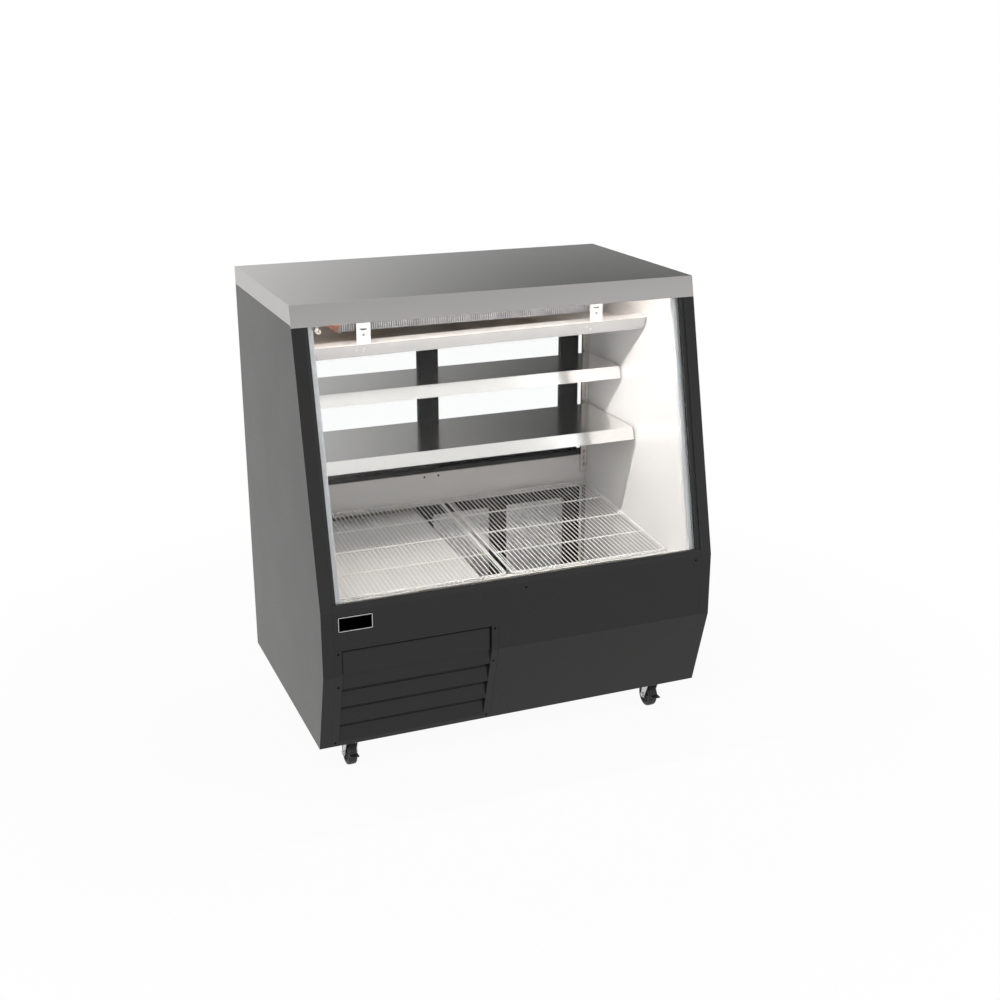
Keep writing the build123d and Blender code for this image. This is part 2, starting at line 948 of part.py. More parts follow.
bracket_sheet = 2.0
bracket_half = 21.0
bracket_foot = 22.0
bracket_left_inset = 233.0
bracket_right_inset = 177.0
bracket_places = (-inner_x + bracket_left_inset, inner_x - bracket_right_inset)


def pan_hangers():
    """White L-shaped hangers that hold the pan's front edge from the counter."""
    hangers = []
    for x in bracket_places:
        top = core_bottom - fit_gap
        low = pan_front_height - pan_fall / 2 + pan_fall * (x + 25) / (2 * pan_half) + fit_gap
        front = pan_front_y + 3
        left = x - bracket_half
        right = x + bracket_half
        plate = block(left, right, front, front + bracket_sheet, low, top)
        foot = block(left, right, front, front + bracket_foot, low, low + bracket_sheet)
        hole = bar_y(x, front - 1, front + bracket_sheet + 1, low + 26, 3.0)
        slot = block(x - 10, x + 10, front - 1, front + bracket_sheet + 1, low + 40, low + 45)
        hangers.append(plate + foot - hole - slot)
    return group(hangers)


fan_stand_off = 40.0
fan_rise = 32.0
fan_x = 0.0
fan_y = coil_front_y + coil_depth + fan_stand_off
fan_z = coil_bottom + fan_rise
fan_radius = 46.0
hub_radius = 17.0
blade_thick = 2.0
fan_shaft = 3.0
fan_plate_half = 120.0
fan_plate_thick = 1.5
fan_can_radius = 24.0
fan_arm_reach = 70.0
fan_arm_thick = 4.0


def fan_blades(x, y, z, radius, hub, count, pitch_angle):
    """Axial fan wheel on an axis along Y."""
    root_overlap = 4.0
    span = radius - hub + root_overlap
    plate = Rot(pitch_angle, 0, 0) * Box(span, blade_thick, radius * 0.55)
    blade = Pos(radius - span / 2, 0, 0) * plate
    wheel = Rot(90, 0, 0) * Cylinder(hub, 14)
    for index in range(count):
        wheel = wheel + Rot(0, 360 / count * index, 0) * blade
    wheel = wheel - Rot(90, 0, 0) * Cylinder(fan_shaft + running_gap, 40)
    return Pos(x, y, z) * wheel


def evaporator_fan_motor():
    """Fan plate with a round mouth, motor can, shaft and the arms between them."""
    plate_y = fan_y - 14
    plate = block(
        -fan_plate_half,
        fan_plate_half,
        plate_y,
        plate_y + fan_plate_thick,
        coil_bottom - 4,
        core_bottom - fit_gap,
    )
    plate = plate - bar_y(fan_x, plate_y - 1, plate_y + 3, fan_z, fan_radius + 4)
    can = bar_y(fan_x, fan_y + 12, fan_y + 40, fan_z, fan_can_radius)
    shaft = bar_y(fan_x, fan_y - 9, fan_y + 13, fan_z, fan_shaft)
    motor = can + shaft
    for side in (-1, 1):
        low_x, high_x = sorted((side * (fan_can_radius - 4), side * fan_arm_reach))
        arm_low = fan_z - fan_arm_thick
        arm_high = fan_z + fan_arm_thick
        arm_rear = fan_y + 20 + fan_arm_thick
        arm = block(low_x, high_x, fan_y + 20, arm_rear, arm_low, arm_high)
        foot_low, foot_high = sorted((side * (fan_arm_reach - fan_arm_thick), side * fan_arm_reach))
        foot = block(foot_low, foot_high, plate_y + 1, arm_rear, arm_low, arm_high)
        motor = motor + arm + foot
    return plate + motor


lamp_end_gap = 37.0
lamp_deep = 26.0
lamp_thick = 16.0


def led_lamp():
    """Lamp bar under the front of the counter."""
    z = core_bottom - fit_gap
    y = front_y(z, glass_setback + 2 * pane_thick + pane_space) + 30
    reach = inner_x - lamp_end_gap
    profile = [
        (y, z),
        (y + lamp_deep, z),
        (y + lamp_deep, z - lamp_thick / 2),
        (y + lamp_deep - 12, z - lamp_thick),
        (y, z - lamp_thick / 2),
    ]
    return prism(profile, -reach, reach)


# Condensing unit
compressor_side_inset = 145.0
compressor_rear_inset = 312.1
compressor_x = cover_right - compressor_side_inset
compressor_y = back_y - compressor_rear_inset
compressor_radius = 78.0
compressor_tall = 170.0
compressor_foot = (180.0, 140.0)
stub_radius = 5.0


def compressor():
    """Sealed compressor: domed can on a foot plate with copper stubs."""
    foot_wide, foot_deep = compressor_foot
    foot = block(
        compressor_x - foot_wide / 2,
        compressor_x + foot_wide / 2,
        compressor_y - foot_deep / 2,
        compressor_y + foot_deep / 2,
        unit_floor,
        unit_floor + 2 * skin,
    )
    top = unit_floor + compressor_tall
    can = bar_z(compressor_x, compressor_y, unit_floor + skin, top, compressor_radius)
    can = fillet(can.edges().sort_by(Axis.Z)[-1], compressor_radius * 0.46)
    stub_x = compressor_x + compressor_radius * 0.51
    stub_y = compressor_y + compressor_radius * 0.38
    stub = bar_z(stub_x, stub_y, top - 30, top + 35, stub_radius)
    return foot + can + stub


condenser_front_inset = 105.2
condenser_side_inset = 42.0
condenser_y = toe_y + condenser_front_inset
condenser_left = -inner_x + condenser_side_inset
condenser_wide = 235.0
condenser_tall = 230.0
condenser_deep = 55.0


def condenser_coil():
    """Finned block behind the grille, with its side plates."""
    left = condenser_left
    right = left + condenser_wide
    low = unit_floor
    high = low + condenser_tall
    body = block(left, right, condenser_y, condenser_y + condenser_deep, low, high)
    fin_step = 12.0
    count = int((right - left - 20) / fin_step)
    for index in range(count):
        x = left + 12 + index * fin_step
        body = body - block(x, x + fin_step - 3, condenser_y - 1, condenser_y + 18, low + 12, high - 12)
    return body


condenser_fan_inset = 117.0
condenser_fan_stand_off = 45.0
condenser_fan_rise = 118.0
condenser_fan_radius = 92.0
shroud_half = 112.0
condenser_can_radius = 34.0
motor_foot_half = 30.0
condenser_fan_x = condenser_left + condenser_fan_inset
condenser_fan_y = condenser_y + condenser_deep + condenser_fan_stand_off
condenser_fan_z = unit_floor + condenser_fan_rise


def condenser_fan_motor():
    """Ring shroud, motor, shaft and arms behind the condenser."""
    x, y, z = condenser_fan_x, condenser_fan_y, condenser_fan_z
    shroud_y = condenser_y + condenser_deep + fit_gap
    left = x - shroud_half
    right = x + shroud_half
    plate = block(left, right, shroud_y, shroud_y + 2, unit_floor, z + shroud_half)
    ring = bar_y(x, shroud_y, y + 10, z, condenser_fan_radius + 10)
    ring = ring - bar_y(x, shroud_y - 1, y + 11, z, condenser_fan_radius + 7)
    plate = plate - bar_y(x, shroud_y - 1, shroud_y + 3, z, condenser_fan_radius + 7)
    can = bar_y(x, y + 22, y + 75, z, condenser_can_radius)
    shaft = bar_y(x, y - 9, y + 23, z, fan_shaft)
    motor = plate + ring + can + shaft
    for side in (-25, 25):
        motor = motor + block(x + side - 5, x + side + 5, y + 40, y + 52, unit_floor, z)
    left = x - motor_foot_half
    right = x + motor_foot_half
    return motor + block(left, right, shroud_y, y + 52, unit_floor, unit_floor + 2)


# Controls recessed in the back of the header
control_rear = header_rear_y
control_face = control_rear - 16.0
dial_x = control_x + 28.0
switch_x = control_x - 28.0
control_z = control_low + control_high / 2
dial_radius = 13.0
rocker_radius = 10.0
rocker_half = 7.0


def control_box():
    """Recessed box with a seat for the dial's shaft and a round seat for the rocker."""
    body = block(
        control_x - control_half,
        control_x + control_half,
        control_face - 22,
        control_rear,
        control_low,
        control_low + control_high,
    )
    recess = block(
        control_x - control_half + 2,
        control_x + control_half - 2,
        control_face,
        control_rear + 1,
        control_low + 2,
        control_low + control_high - 2,
    )
    shaft_bore = bar_y(dial_x, control_face - 14, control_face + 1, control_z, fan_shaft + running_gap)
    seat = bar_x(
        switch_x - rocker_half - fit_gap,
        switch_x + rocker_half + fit_gap,
        control_face - 6,
        control_z,
        rocker_radius + fit_gap,
    )
    return body - recess - shaft_bore - seat


def thermostat_dial():
    """Temperature dial with a raised pointer and its shaft."""
    knob = bar_y(dial_x, control_face + fit_gap, control_face + 11, control_z, dial_radius)
    grip_rear = control_face + 14
    grip = block(dial_x - 2, dial_x + 2, grip_rear - 4, grip_rear, control_z - 11, control_z + 11)
    shaft = bar_y(dial_x, control_face - 13, control_face + 1, control_z, fan_shaft)
    return knob + grip + shaft


def light_switch():
    """Rocker of the lamp switch: a round-backed key with two flats."""
    middle_y = control_face - 6
    key = bar_x(switch_x - rocker_half, switch_x + rocker_half, middle_y, control_z, rocker_radius)
    for tilt in (-14, 14):
        flat = Pos(switch_x, middle_y + 8 + 10, control_z) * Box(40, 20, 60)
        turn = Pos(switch_x, middle_y, control_z) * Rot(tilt, 0, 0) * Pos(-switch_x, -middle_y, -control_z)
        key = key - turn * flat
    return key


# Casters
swivel_low = caster_height - 13.0
fork_inner = wheel_width / 2 + 2.0
fork_sheet = 2.5


def caster_plate(x, y):
    """Top plate and swivel stem of one caster."""
    plate = block(x - 45, x + 45, y - 32, y + 32, caster_height - 3 - 0.02, caster_height - 0.02)
    stem = bar_z(x, y, swivel_low - 5, caster_height - 3, 6.0)
    nut = bar_z(x, y, swivel_low - 8.5, swivel_low - 4.5, 9.0)
    for dx in (-36, 36):
        for dy in (-23, 23):
            plate = plate - bar_z(x + dx, y + dy, caster_height - 8, caster_height + 1, 4.2)
    return plate + stem + nut


def caster_fork(x, y, braked):
    """Swivel cup, two fork legs, axle, and the cross pin of the brake where there is one."""
    top = swivel_low + 9.0
    cup = bar_z(x, y, swivel_low - 2.5, top, 24.0)
    cup = cup - bar_z(x, y, swivel_low - 4, top + 1, 6.0 + running_gap)
    wheel_y = y + caster_trail
    fork = cup
    for side in (-1, 1):
        inner, outer = sorted((x + side * fork_inner, x + side * (fork_inner + fork_sheet)))
        leg = prism(
            [
                (y - 18, swivel_low),
                (y + 20, swivel_low),
                (wheel_y + 11, wheel_radius),
                (wheel_y + 5, wheel_radius - 10),
                (wheel_y - 5, wheel_radius - 10),
                (wheel_y - 11, wheel_radius),
            ],
            inner,
            outer,
        )
        fork = fork + leg
    fork_outer = fork_inner + fork_sheet
    bridge = block(x - fork_outer, x + fork_outer, y - 18, y + 20, swivel_low - 2.5, swivel_low)
    bridge = bridge - bar_z(x, y, swivel_low - 4, swivel_low + 1, 6.0 + running_gap)
    fork = fork + bridge
    axle = bar_x(x - fork_inner - 6, x + fork_inner + 6, wheel_y, wheel_radius, axle_radius)
    heads = bar_x(x - fork_inner - 7, x - fork_inner - fork_sheet + 0.2, wheel_y, wheel_radius, 7.0)
    heads = heads + bar_x(x + fork_inner + fork_sheet - 0.2, x + fork_inner + 7, wheel_y, wheel_radius, 7.0)
    fork = fork + axle + heads
    if braked:
        pin_y = wheel_y - pedal_pin_back
        pin_z = wheel_radius + pedal_pin_rise
        reach = fork_inner + fork_sheet + 1
        fork = fork + bar_x(x - reach, x + reach, pin_y, pin_z, pedal_pin_radius)
    return fork


def caster_wheel(x, y):
    """Black tread wheel with a hub bore."""
    wheel_y = y + caster_trail
    half = wheel_width / 2
    tread = bar_x(x - half, x + half, wheel_y, wheel_radius, wheel_radius)
    tread = fillet(tread.edges().filter_by(GeomType.CIRCLE), 5.0)
    recess = bar_x(x - half - 1, x - half + 4, wheel_y, wheel_radius, 25.0)
    recess = recess - bar_x(x - half - 2, x - half + 5, wheel_y, wheel_radius, 10.0)
    other = bar_x(x + half - 4, x + half + 1, wheel_y, wheel_radius, 25.0)
    other = other - bar_x(x + half - 5, x + half + 2, wheel_y, wheel_radius, 10.0)
    bore = bar_x(x - half - 1, x + half + 1, wheel_y, wheel_radius, axle_radius + running_gap)
    return tread - recess - other - bore


pedal_pin_back = 20.0
pedal_pin_rise = 38.0
pedal_pin_radius = 2.5


def brake_pedal(x, y):
    """Brake lever that arches over the front of the wheel and tips on the fork's cross pin."""
    wheel_y = y + caster_trail
    ring_in = wheel_radius + 3.0
    ring_out = wheel_radius + 6.5
    arch = bar_x(x - 11, x + 11, wheel_y, wheel_radius, ring_out)
    arch = arch - bar_x(x - 12, x + 12, wheel_y, wheel_radius, ring_in)
    keep_rear = wheel_y - pedal_pin_back
    keep = block(x - 12, x + 12, wheel_y - 60, keep_rear, wheel_radius + 8, wheel_radius + 60)
    tip = block(x - 13, x + 13, wheel_y - 58, wheel_y - 39, wheel_radius + 9, wheel_radius + 12.5)
    pin_y = wheel_y - pedal_pin_back
    pin_z = wheel_radius + pedal_pin_rise
    eye = bar_x(x - 11, x + 11, pin_y, pin_z, 5.0)
    pedal = (arch & keep) + tip + eye
    return pedal - bar_x(x - 12, x + 12, pin_y, pin_z, pedal_pin_radius + running_gap)


def save(node, shape):
    """Write one sub-part."""
    export_step(shape, f"parts/{node}.step")


def main():
    os.makedirs("parts", exist_ok=True)
    save("counter_top", counter_top())
    save("counter_core", counter_core())
    left_panel = side_panel_left()
    save("side_panel_left", left_panel)
    save("side_panel_right", mirrored(left_panel))
    save("wall_foam", wall_foam())
    save("side_liners", side_liners())
    save("base_tray", base_tray())
    save("front_panel", front_panel())
    save("grille_panel", grille_panel())
    save("cabinet_screws", cabinet_screws())
    save("name_plate", name_plate())
    save("front_glass_outer", front_glass(glass_setback))
    save("front_glass_inner", front_glass(glass_setback + pane_thick + pane_space))
    save("glass_spacer", glass_spacer())
    save("glass_gasket", glass_gasket())
    save("back_liner", back_liner())
    save("rear_duct_frame", rear_duct_frame())
    save("back_panel", back_panel())
    save("rear_header", rear_header())
    save("bottom_track", track(back_liner_top, 1, track_lip))
    save("top_track", track(header_low - fit_gap, -1, top_track_lip))
    edge = stile_width / 2
    save("rear_door_left_frame", door_frame(-door_reach, edge, door_inner_y, -1))
    save("rear_door_left_glass", door_glass(-door_reach, edge, door_inner_y))
    save("rear_door_right_frame", door_frame(-edge, door_reach, door_outer_y, 1))
    save("rear_door_right_glass", door_glass(-edge, door_reach, door_outer_y))
    save("pilasters", pilasters())
    save("shelf_upper", shelf(upper_shelf_height, upper_shelf_depth))
    save("shelf_lower", shelf(lower_shelf_height, lower_shelf_depth))
    save("shelf_brackets", shelf_brackets())
    save("rack_left", rack(-rack_side, rack_split - rack_gap / 2))
    save("rack_right", rack(rack_split + rack_gap / 2, rack_side))
    save("rack_supports", rack_supports())
    save("well_tub", well_tub())
    save("compressor_cover", compressor_cover())
    save("coil_fins", coil_fins())
    save("coil_tubes", coil_tubes())
    save("coil_end_plates", coil_end_plates())
    save("drain_pan", drain_pan())
    save("pan_hangers", pan_hangers())
    save("evaporator_fan_motor", evaporator_fan_motor())
    save("evaporator_fan_blades", fan_blades(fan_x, fan_y, fan_z, fan_radius, hub_radius, 5, 28))
    save("led_lamp", led_lamp())
    save("compressor", compressor())
    save("condenser_coil", condenser_coil())
    save("condenser_fan_motor", condenser_fan_motor())
    save(
        "condenser_fan_blades",
        fan_blades(
            condenser_fan_x, condenser_fan_y, condenser_fan_z, condenser_fan_radius, 26.0, 4, 26
        ),
    )
    save("control_box", control_box())
    save("thermostat_dial", thermostat_dial())
    save("light_switch", light_switch())
    spots = {
        "front_left": (-caster_x, caster_front_y),
        "front_right": (caster_x, caster_front_y),
        "rear_left": (-caster_x, caster_rear_y),
        "rear_right": (caster_x, caster_rear_y),
    }
    save("caster_plates", group([caster_plate(x, y) for x, y in spots.values()]))
    for name, (x, y) in spots.items():
        braked = name.startswith("front")
        save(f"caster_fork_{name}", caster_fork(x, y, braked))
        save(f"caster_wheel_{name}", caster_wheel(x, y))
        if braked:
            save(f"brake_pedal_{name}", brake_pedal(x, y))


main()
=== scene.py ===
import json
from math import atan, cos, hypot, pi, radians, sin

import bpy
from mathutils import Matrix, Vector


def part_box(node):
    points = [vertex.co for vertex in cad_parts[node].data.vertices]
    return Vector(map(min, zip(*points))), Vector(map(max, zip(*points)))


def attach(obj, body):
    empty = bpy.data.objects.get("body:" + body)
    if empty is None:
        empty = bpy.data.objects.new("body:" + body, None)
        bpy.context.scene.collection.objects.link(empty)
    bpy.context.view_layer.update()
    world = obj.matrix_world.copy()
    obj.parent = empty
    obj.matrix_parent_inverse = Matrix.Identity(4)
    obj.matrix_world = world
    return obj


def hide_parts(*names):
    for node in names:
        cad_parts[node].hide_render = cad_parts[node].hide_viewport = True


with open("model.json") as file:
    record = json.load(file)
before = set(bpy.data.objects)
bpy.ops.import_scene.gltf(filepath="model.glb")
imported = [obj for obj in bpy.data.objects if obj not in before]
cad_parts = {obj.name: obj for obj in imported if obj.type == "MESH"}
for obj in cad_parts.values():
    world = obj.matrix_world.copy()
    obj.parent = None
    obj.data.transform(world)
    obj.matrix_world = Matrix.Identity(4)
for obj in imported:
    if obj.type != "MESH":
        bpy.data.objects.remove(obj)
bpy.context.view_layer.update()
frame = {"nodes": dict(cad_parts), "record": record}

ROOT = "cabinet"

# Places that the frame gives, in metres
counter_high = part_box("counter_top")[1]
half_width = counter_high.x
height = counter_high.z
back_y = counter_high.y
knee_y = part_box("front_panel")[0].y
back_inner_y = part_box("back_liner")[0].y

# Sizes that the looks add to the frame
FRONT_RAKE = 0.2318
KNEE_HEIGHT = 0.5616
TOE_BEND_HEIGHT = 0.3669
TOE_RUN = 0.0757
TOE_RISE = 0.2569
TOE_SLOPE = atan(TOE_RUN / TOE_RISE)
GLASS_INSET = 0.034
SCREW_RADIUS = 0.0035
SMALL_SCREW_RADIUS = 0.0025
SCREW_RISE = 0.0012
SCREW_SINK = 0.0006
FRONT_SCREW_SINK = 0.00062
RACK_FALL = 0.047
RACK_PITCH = 0.0143
RACK_WIRE = 0.0015
RACK_CROSS_WIRE = 0.0026
RACK_RIM = 0.0035
RACK_REACH = 0.013
FIN_PITCH = 0.0069
FIN_THICK = 0.0008
FIN_LIP = 0.0032
PAN_RIM = 1.211
PAN_FALL = 0.0105
STEEL_THICK = 0.0015
PAN_FACE_RUN = 0.014
PAN_FACE_HEIGHT = 0.039
PAN_RIM_DEPTH = 0.058
PAN_THICK = 0.0012
PAN_EDGE = 0.0004
PAN_END_GAP = 0.0005
PAN_REAR_RISE = 0.018
PAN_SCREW_RADIUS = 0.0018
FITTING_PLACE = (-0.4765, -0.016, 1.2525)
CORE_UNDERSIDE = 1.3366
PLATE_CORNER = 0.005
PULL_LOW = 0.8501
PULL_HIGH = 0.9599
PULL_HALF = 0.0109
PULL_INSET = 0.033
BUSH_SPREAD = 0.025
BUSH_DROP = 0.012
CASTER_HOLE_X = 0.036
CASTER_HOLE_Y = 0.023
WHEEL_SIDES = 48
SPOKES = 6
COMPRESSOR_RADIUS = 0.078
BLOCK_FACES = [(0, 1, 2, 3), (7, 6, 5, 4), (0, 4, 5, 1), (1, 5, 6, 2), (2, 6, 7, 3), (3, 7, 4, 0)]


# Shapes as lists of corners and faces
def join(parts):
    """Several shapes as one."""
    corners = []
    faces = []
    for part_corners, part_faces in parts:
        start = len(corners)
        corners.extend(part_corners)
        faces.extend([tuple(start + index for index in face) for face in part_faces])
    return corners, faces


def tube(points, radius, sides=8):
    """A round wire along a row of points, closed at both ends."""
    points = [Vector(point) for point in points]
    corners = []
    faces = []
    side = None
    for index, point in enumerate(points):
        before = points[max(index - 1, 0)]
        after = points[min(index + 1, len(points) - 1)]
        forward = (after - before).normalized()
        if side is None:
            helper = Vector((0, 0, 1)) if abs(forward.z) < 0.9 else Vector((1, 0, 0))
            side = forward.cross(helper).normalized()
        side = (side - forward * side.dot(forward)).normalized()
        other = forward.cross(side)
        for step in range(sides):
            turn = 2 * pi * step / sides
            corners.append(point + (side * cos(turn) + other * sin(turn)) * radius)
        if index:
            low = (index - 1) * sides
            for step in range(sides):
                following = (step + 1) % sides
                faces.append((low + step, low + following, low + sides + following, low + sides + step))
    last = (len(points) - 1) * sides
    faces.append(tuple(reversed(range(sides))))
    faces.append(tuple(range(last, last + sides)))
    return corners, faces


def ring_tube(points, radius, sides=8):
    """A round wire along a closed loop of points."""
    points = [Vector(point) for point in points]
    count = len(points)
    corners = []
    faces = []
    normal = (points[1] - points[0]).cross(points[2] - points[1])
    for first in range(count):
        turn_normal = (points[(first + 1) % count] - points[first]).cross(
            points[(first + 2) % count] - points[(first + 1) % count]
        )
        if turn_normal.length > normal.length:
            normal = turn_normal
    normal.normalize()
    for index, point in enumerate(points):
        forward = (points[(index + 1) % count] - points[index - 1]).normalized()
        side = forward.cross(normal).normalized()
        for step in range(sides):
            turn = 2 * pi * step / sides
            corners.append(point + (side * cos(turn) + normal * sin(turn)) * radius)
        low = index * sides
        high = ((index + 1) % count) * sides
        for step in range(sides):
            following = (step + 1) % sides
            faces.append((low + step, low + following, high + following, high + step))
    return corners, faces


def turned(profile, centre, axis, sides=24):
    """A shape turned on an axis from (radius, distance) points, closed where the radius is zero."""
    axis = Vector(axis).normalized()
    helper = Vector((0, 0, 1)) if abs(axis.z) < 0.9 else Vector((1, 0, 0))
    side = axis.cross(helper).normalized()
    other = axis.cross(side)
    centre = Vector(centre)
    corners = []
    faces = []
    for radius, distance in profile:
        for step in range(sides):
            turn = 2 * pi * step / sides
            corners.append(centre + axis * distance + (side * cos(turn) + other * sin(turn)) * radius)
    for row in range(len(profile) - 1):
        low = row * sides
        for step in range(sides):
            following = (step + 1) % sides
            faces.append((low + step, low + following, low + sides + following, low + sides + step))
    faces.append(tuple(reversed(range(sides))))
    last = (len(profile) - 1) * sides
    faces.append(tuple(range(last, last + sides)))
    return corners, faces


def chamfered_box(low, high, edge):
    """A box with its edges broken by a small flat."""
    corners = []
    for z, inset in ((low[2], edge), (low[2] + edge, 0), (high[2] - edge, 0), (high[2], edge)):
        x0, x1 = low[0] + inset, high[0] - inset
        y0, y1 = low[1] + inset, high[1] - inset
        corners.extend(
            [
                (x0 + edge, y0, z),
                (x1 - edge, y0, z),
                (x1, y0 + edge, z),
                (x1, y1 - edge, z),
                (x1 - edge, y1, z),
                (x0 + edge, y1, z),
                (x0, y1 - edge, z),
                (x0, y0 + edge, z),
            ]
        )
    faces = [tuple(reversed(range(8))), tuple(range(24, 32))]
    for row in range(3):
        for step in range(8):
            following = (step + 1) % 8
            faces.append((row * 8 + step, row * 8 + following, row * 8 + 8 + following, row * 8 + 8 + step))
    return corners, faces


def rounded_loop(left, right, low, high, radius, inset, steps=6):
    """Points (x, z) of a rectangle with round corners, moved inwards."""
    points = []
    centres = (
        (right - radius, high - radius, 0.0),
        (left + radius, high - radius, pi / 2),
        (left + radius, low + radius, pi),
        (right - radius, low + radius, 3 * pi / 2),
    )
    for centre_x, centre_z, start in centres:
        for step in range(steps + 1):
            turn = start + pi / 2 * step / steps
            reach = radius - inset
            points.append((centre_x + reach * cos(turn), centre_z + reach * sin(turn)))
    return points


def border(left, right, low, high, radius, profile):
    """A raised border from (inset, y) points, carried round a rectangle with round corners."""
    corners = []
    faces = []
    loops = []
    for inset, y in profile:
        loops.append([(x, y, z) for x, z in rounded_loop(left, right, low, high, radius, inset)])
    count = len(loops[0])
    for loop in loops:
        corners.extend(loop)
    rows = len(profile)
    for row in range(rows):
        following_row = (row + 1) % rows
        for step in range(count):
            following = (step + 1) % count
            faces.append(
                (
                    row * count + step,
                    row * count + following,
                    following_row * count + following,
                    following_row * count + step,
                )
            )
    return corners, faces


def screw_head(centre, outward, radius, rise):
    """A domed head with a cross recess, standing on a face."""
    outward = Vector(outward).normalized()
    helper = Vector((1, 0, 0))
    side = (helper - outward * helper.dot(outward)).normalized()
    other = outward.cross(side)
    centre = Vector(centre)
    sides = 24
    arm = radius * 0.52
    waist = radius * 0.16

    def cross_radius(step):
        return arm if step % 6 == 0 else waist * (1.3 if step % 6 in (1, 5) else 1.0)

    rings = [
        ([radius] * sides, 0.0),
        ([radius] * sides, rise * 0.45),
        ([radius * 0.86] * sides, rise * 0.85),
        ([radius * 0.62] * sides, rise),
        ([cross_radius(step) for step in range(sides)], rise),
        ([cross_radius(step) * 0.8 for step in range(sides)], rise * 0.35),
    ]
    corners = []
    faces = []
    for ring, distance in rings:
        for step in range(sides):
            turn = 2 * pi * step / sides
            reach = (side * cos(turn) + other * sin(turn)) * ring[step]
            corners.append(centre + reach + outward * distance)
    for row in range(len(rings) - 1):
        low = row * sides
        for step in range(sides):
            following = (step + 1) % sides
            faces.append((low + step, low + following, low + sides + following, low + sides + step))
    faces.append(tuple(reversed(range(sides))))
    last = (len(rings) - 1) * sides
    faces.append(tuple(range(last, last + sides)))
    return corners, faces


def piece(name, parts, body, material, replaced=()):
    """One named piece from several shapes, riding on a body."""
    corners, faces = join(parts)
    mesh = bpy.data.meshes.new(name)
    mesh.from_pydata([tuple(corner) for corner in corners], [], faces)
    mesh.validate()
    mesh.update()
    mesh.materials.append(material)
    made = bpy.data.objects.new(name, mesh)
    bpy.context.scene.collection.objects.link(made)
    for polygon in mesh.polygons:
        polygon.use_smooth = True
    mesh.set_sharp_from_angle(angle=radians(38))
    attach(made, body)
    if replaced:
        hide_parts(*replaced)
    return made


# Materials
class Paint:
    """A node material that starts from one shader and gains detail step by step."""

    def __init__(self, name, colour, roughness, metallic=0.0):
        self.material = bpy.data.materials.new(name)
        self.material.use_nodes = True
        self.tree = self.material.node_tree
        self.shader = self.tree.nodes["Principled BSDF"]
        self.shader.inputs["Base Color"].default_value = (*colour, 1.0)
        self.shader.inputs["Roughness"].default_value = roughness
        self.shader.inputs["Metallic"].default_value = metallic
        self.place = self.node("ShaderNodeTexCoord").outputs["Object"]
        self.colour = colour

    def node(self, kind, **inputs):
        made = self.tree.nodes.new(kind)
        for name, value in inputs.items():
            made.inputs[name.replace("_", " ")].default_value = value
        return made

    def link(self, source, target):
        self.tree.links.new(source, target)

    def noise(self, scale, stretch=(1, 1, 1), detail=4.0):
        """Noise in the case's own metres, stretched along the axes."""
        mapping = self.node("ShaderNodeMapping", Scale=stretch)
        self.link(self.place, mapping.inputs["Vector"])
        noise = self.node("ShaderNodeTexNoise", Scale=scale, Detail=detail)
        self.link(mapping.outputs["Vector"], noise.inputs["Vector"])
        return noise.outputs["Fac"]

    def spread(self, source, low, high):
        """Carries a noise's middle range onto a low and a high value."""
        ranged = self.node("ShaderNodeMapRange")
        ranged.inputs["From Min"].default_value = 0.32
        ranged.inputs["From Max"].default_value = 0.68
        ranged.inputs["To Min"].default_value = low
        ranged.inputs["To Max"].default_value = high
        self.link(source, ranged.inputs["Value"])
        return ranged.outputs["Result"]

    def tint(self, source, change):
        """Varies the colour by a share up and down."""
        mix = self.tree.nodes.new("ShaderNodeMix")
        mix.data_type = "RGBA"
        mix.inputs[6].default_value = (*[channel * (1 - change) for channel in self.colour], 1)
        mix.inputs[7].default_value = (*[min(channel * (1 + change), 1) for channel in self.colour], 1)
        self.link(self.spread(source, 0.0, 1.0), mix.inputs["Factor"])
        self.link(mix.outputs[2], self.shader.inputs["Base Color"])
        return self

    def vary_roughness(self, source, low, high):
        self.link(self.spread(source, low, high), self.shader.inputs["Roughness"])
        return self

    def relief(self, source, strength, distance, edge=0.0):
        """A bump from a height, over edges that the light sees as slightly rounded."""
        bump = self.node("ShaderNodeBump", Strength=strength, Distance=distance)
        self.link(source, bump.inputs["Height"])
        if edge:
            rounding = self.tree.nodes.new("ShaderNodeBevel")
            rounding.samples = 4
            rounding.inputs["Radius"].default_value = edge
            self.link(rounding.outputs["Normal"], bump.inputs["Normal"])
        self.link(bump.outputs["Normal"], self.shader.inputs["Normal"])
        return self


def brushed(name, colour, low, high, edge):
    """Steel brushed along X, with fine lines and slight cloudiness."""
    paint = Paint(name, colour, (low + high) / 2, 1.0)
    lines = paint.noise(90.0, (0.25, 30.0, 30.0), 6.0)
    clouds = paint.noise(2.0, (1, 1, 1), 2.0)
    paint.tint(clouds, 0.012)
    paint.vary_roughness(lines, low, high)
    return paint.relief(lines, 0.02, 0.0001, edge).material


def coated(name, colour, roughness, grain, strength, edge=0.0008, change=0.06, shine=0.5):
    """Sheet with a powder coat: fine orange peel and a slightly uneven gloss."""
    paint = Paint(name, colour, roughness)
    peel = paint.noise(grain, (1, 1, 1), 3.0)
    clouds = paint.noise(5.0, (1, 1, 1), 4.0)
    paint.tint(clouds, change)
    paint.vary_roughness(clouds, roughness - 0.012, roughness + 0.012)
    paint.shader.inputs["Specular IOR Level"].default_value = shine
    return paint.relief(peel, strength, 0.0003, edge).material


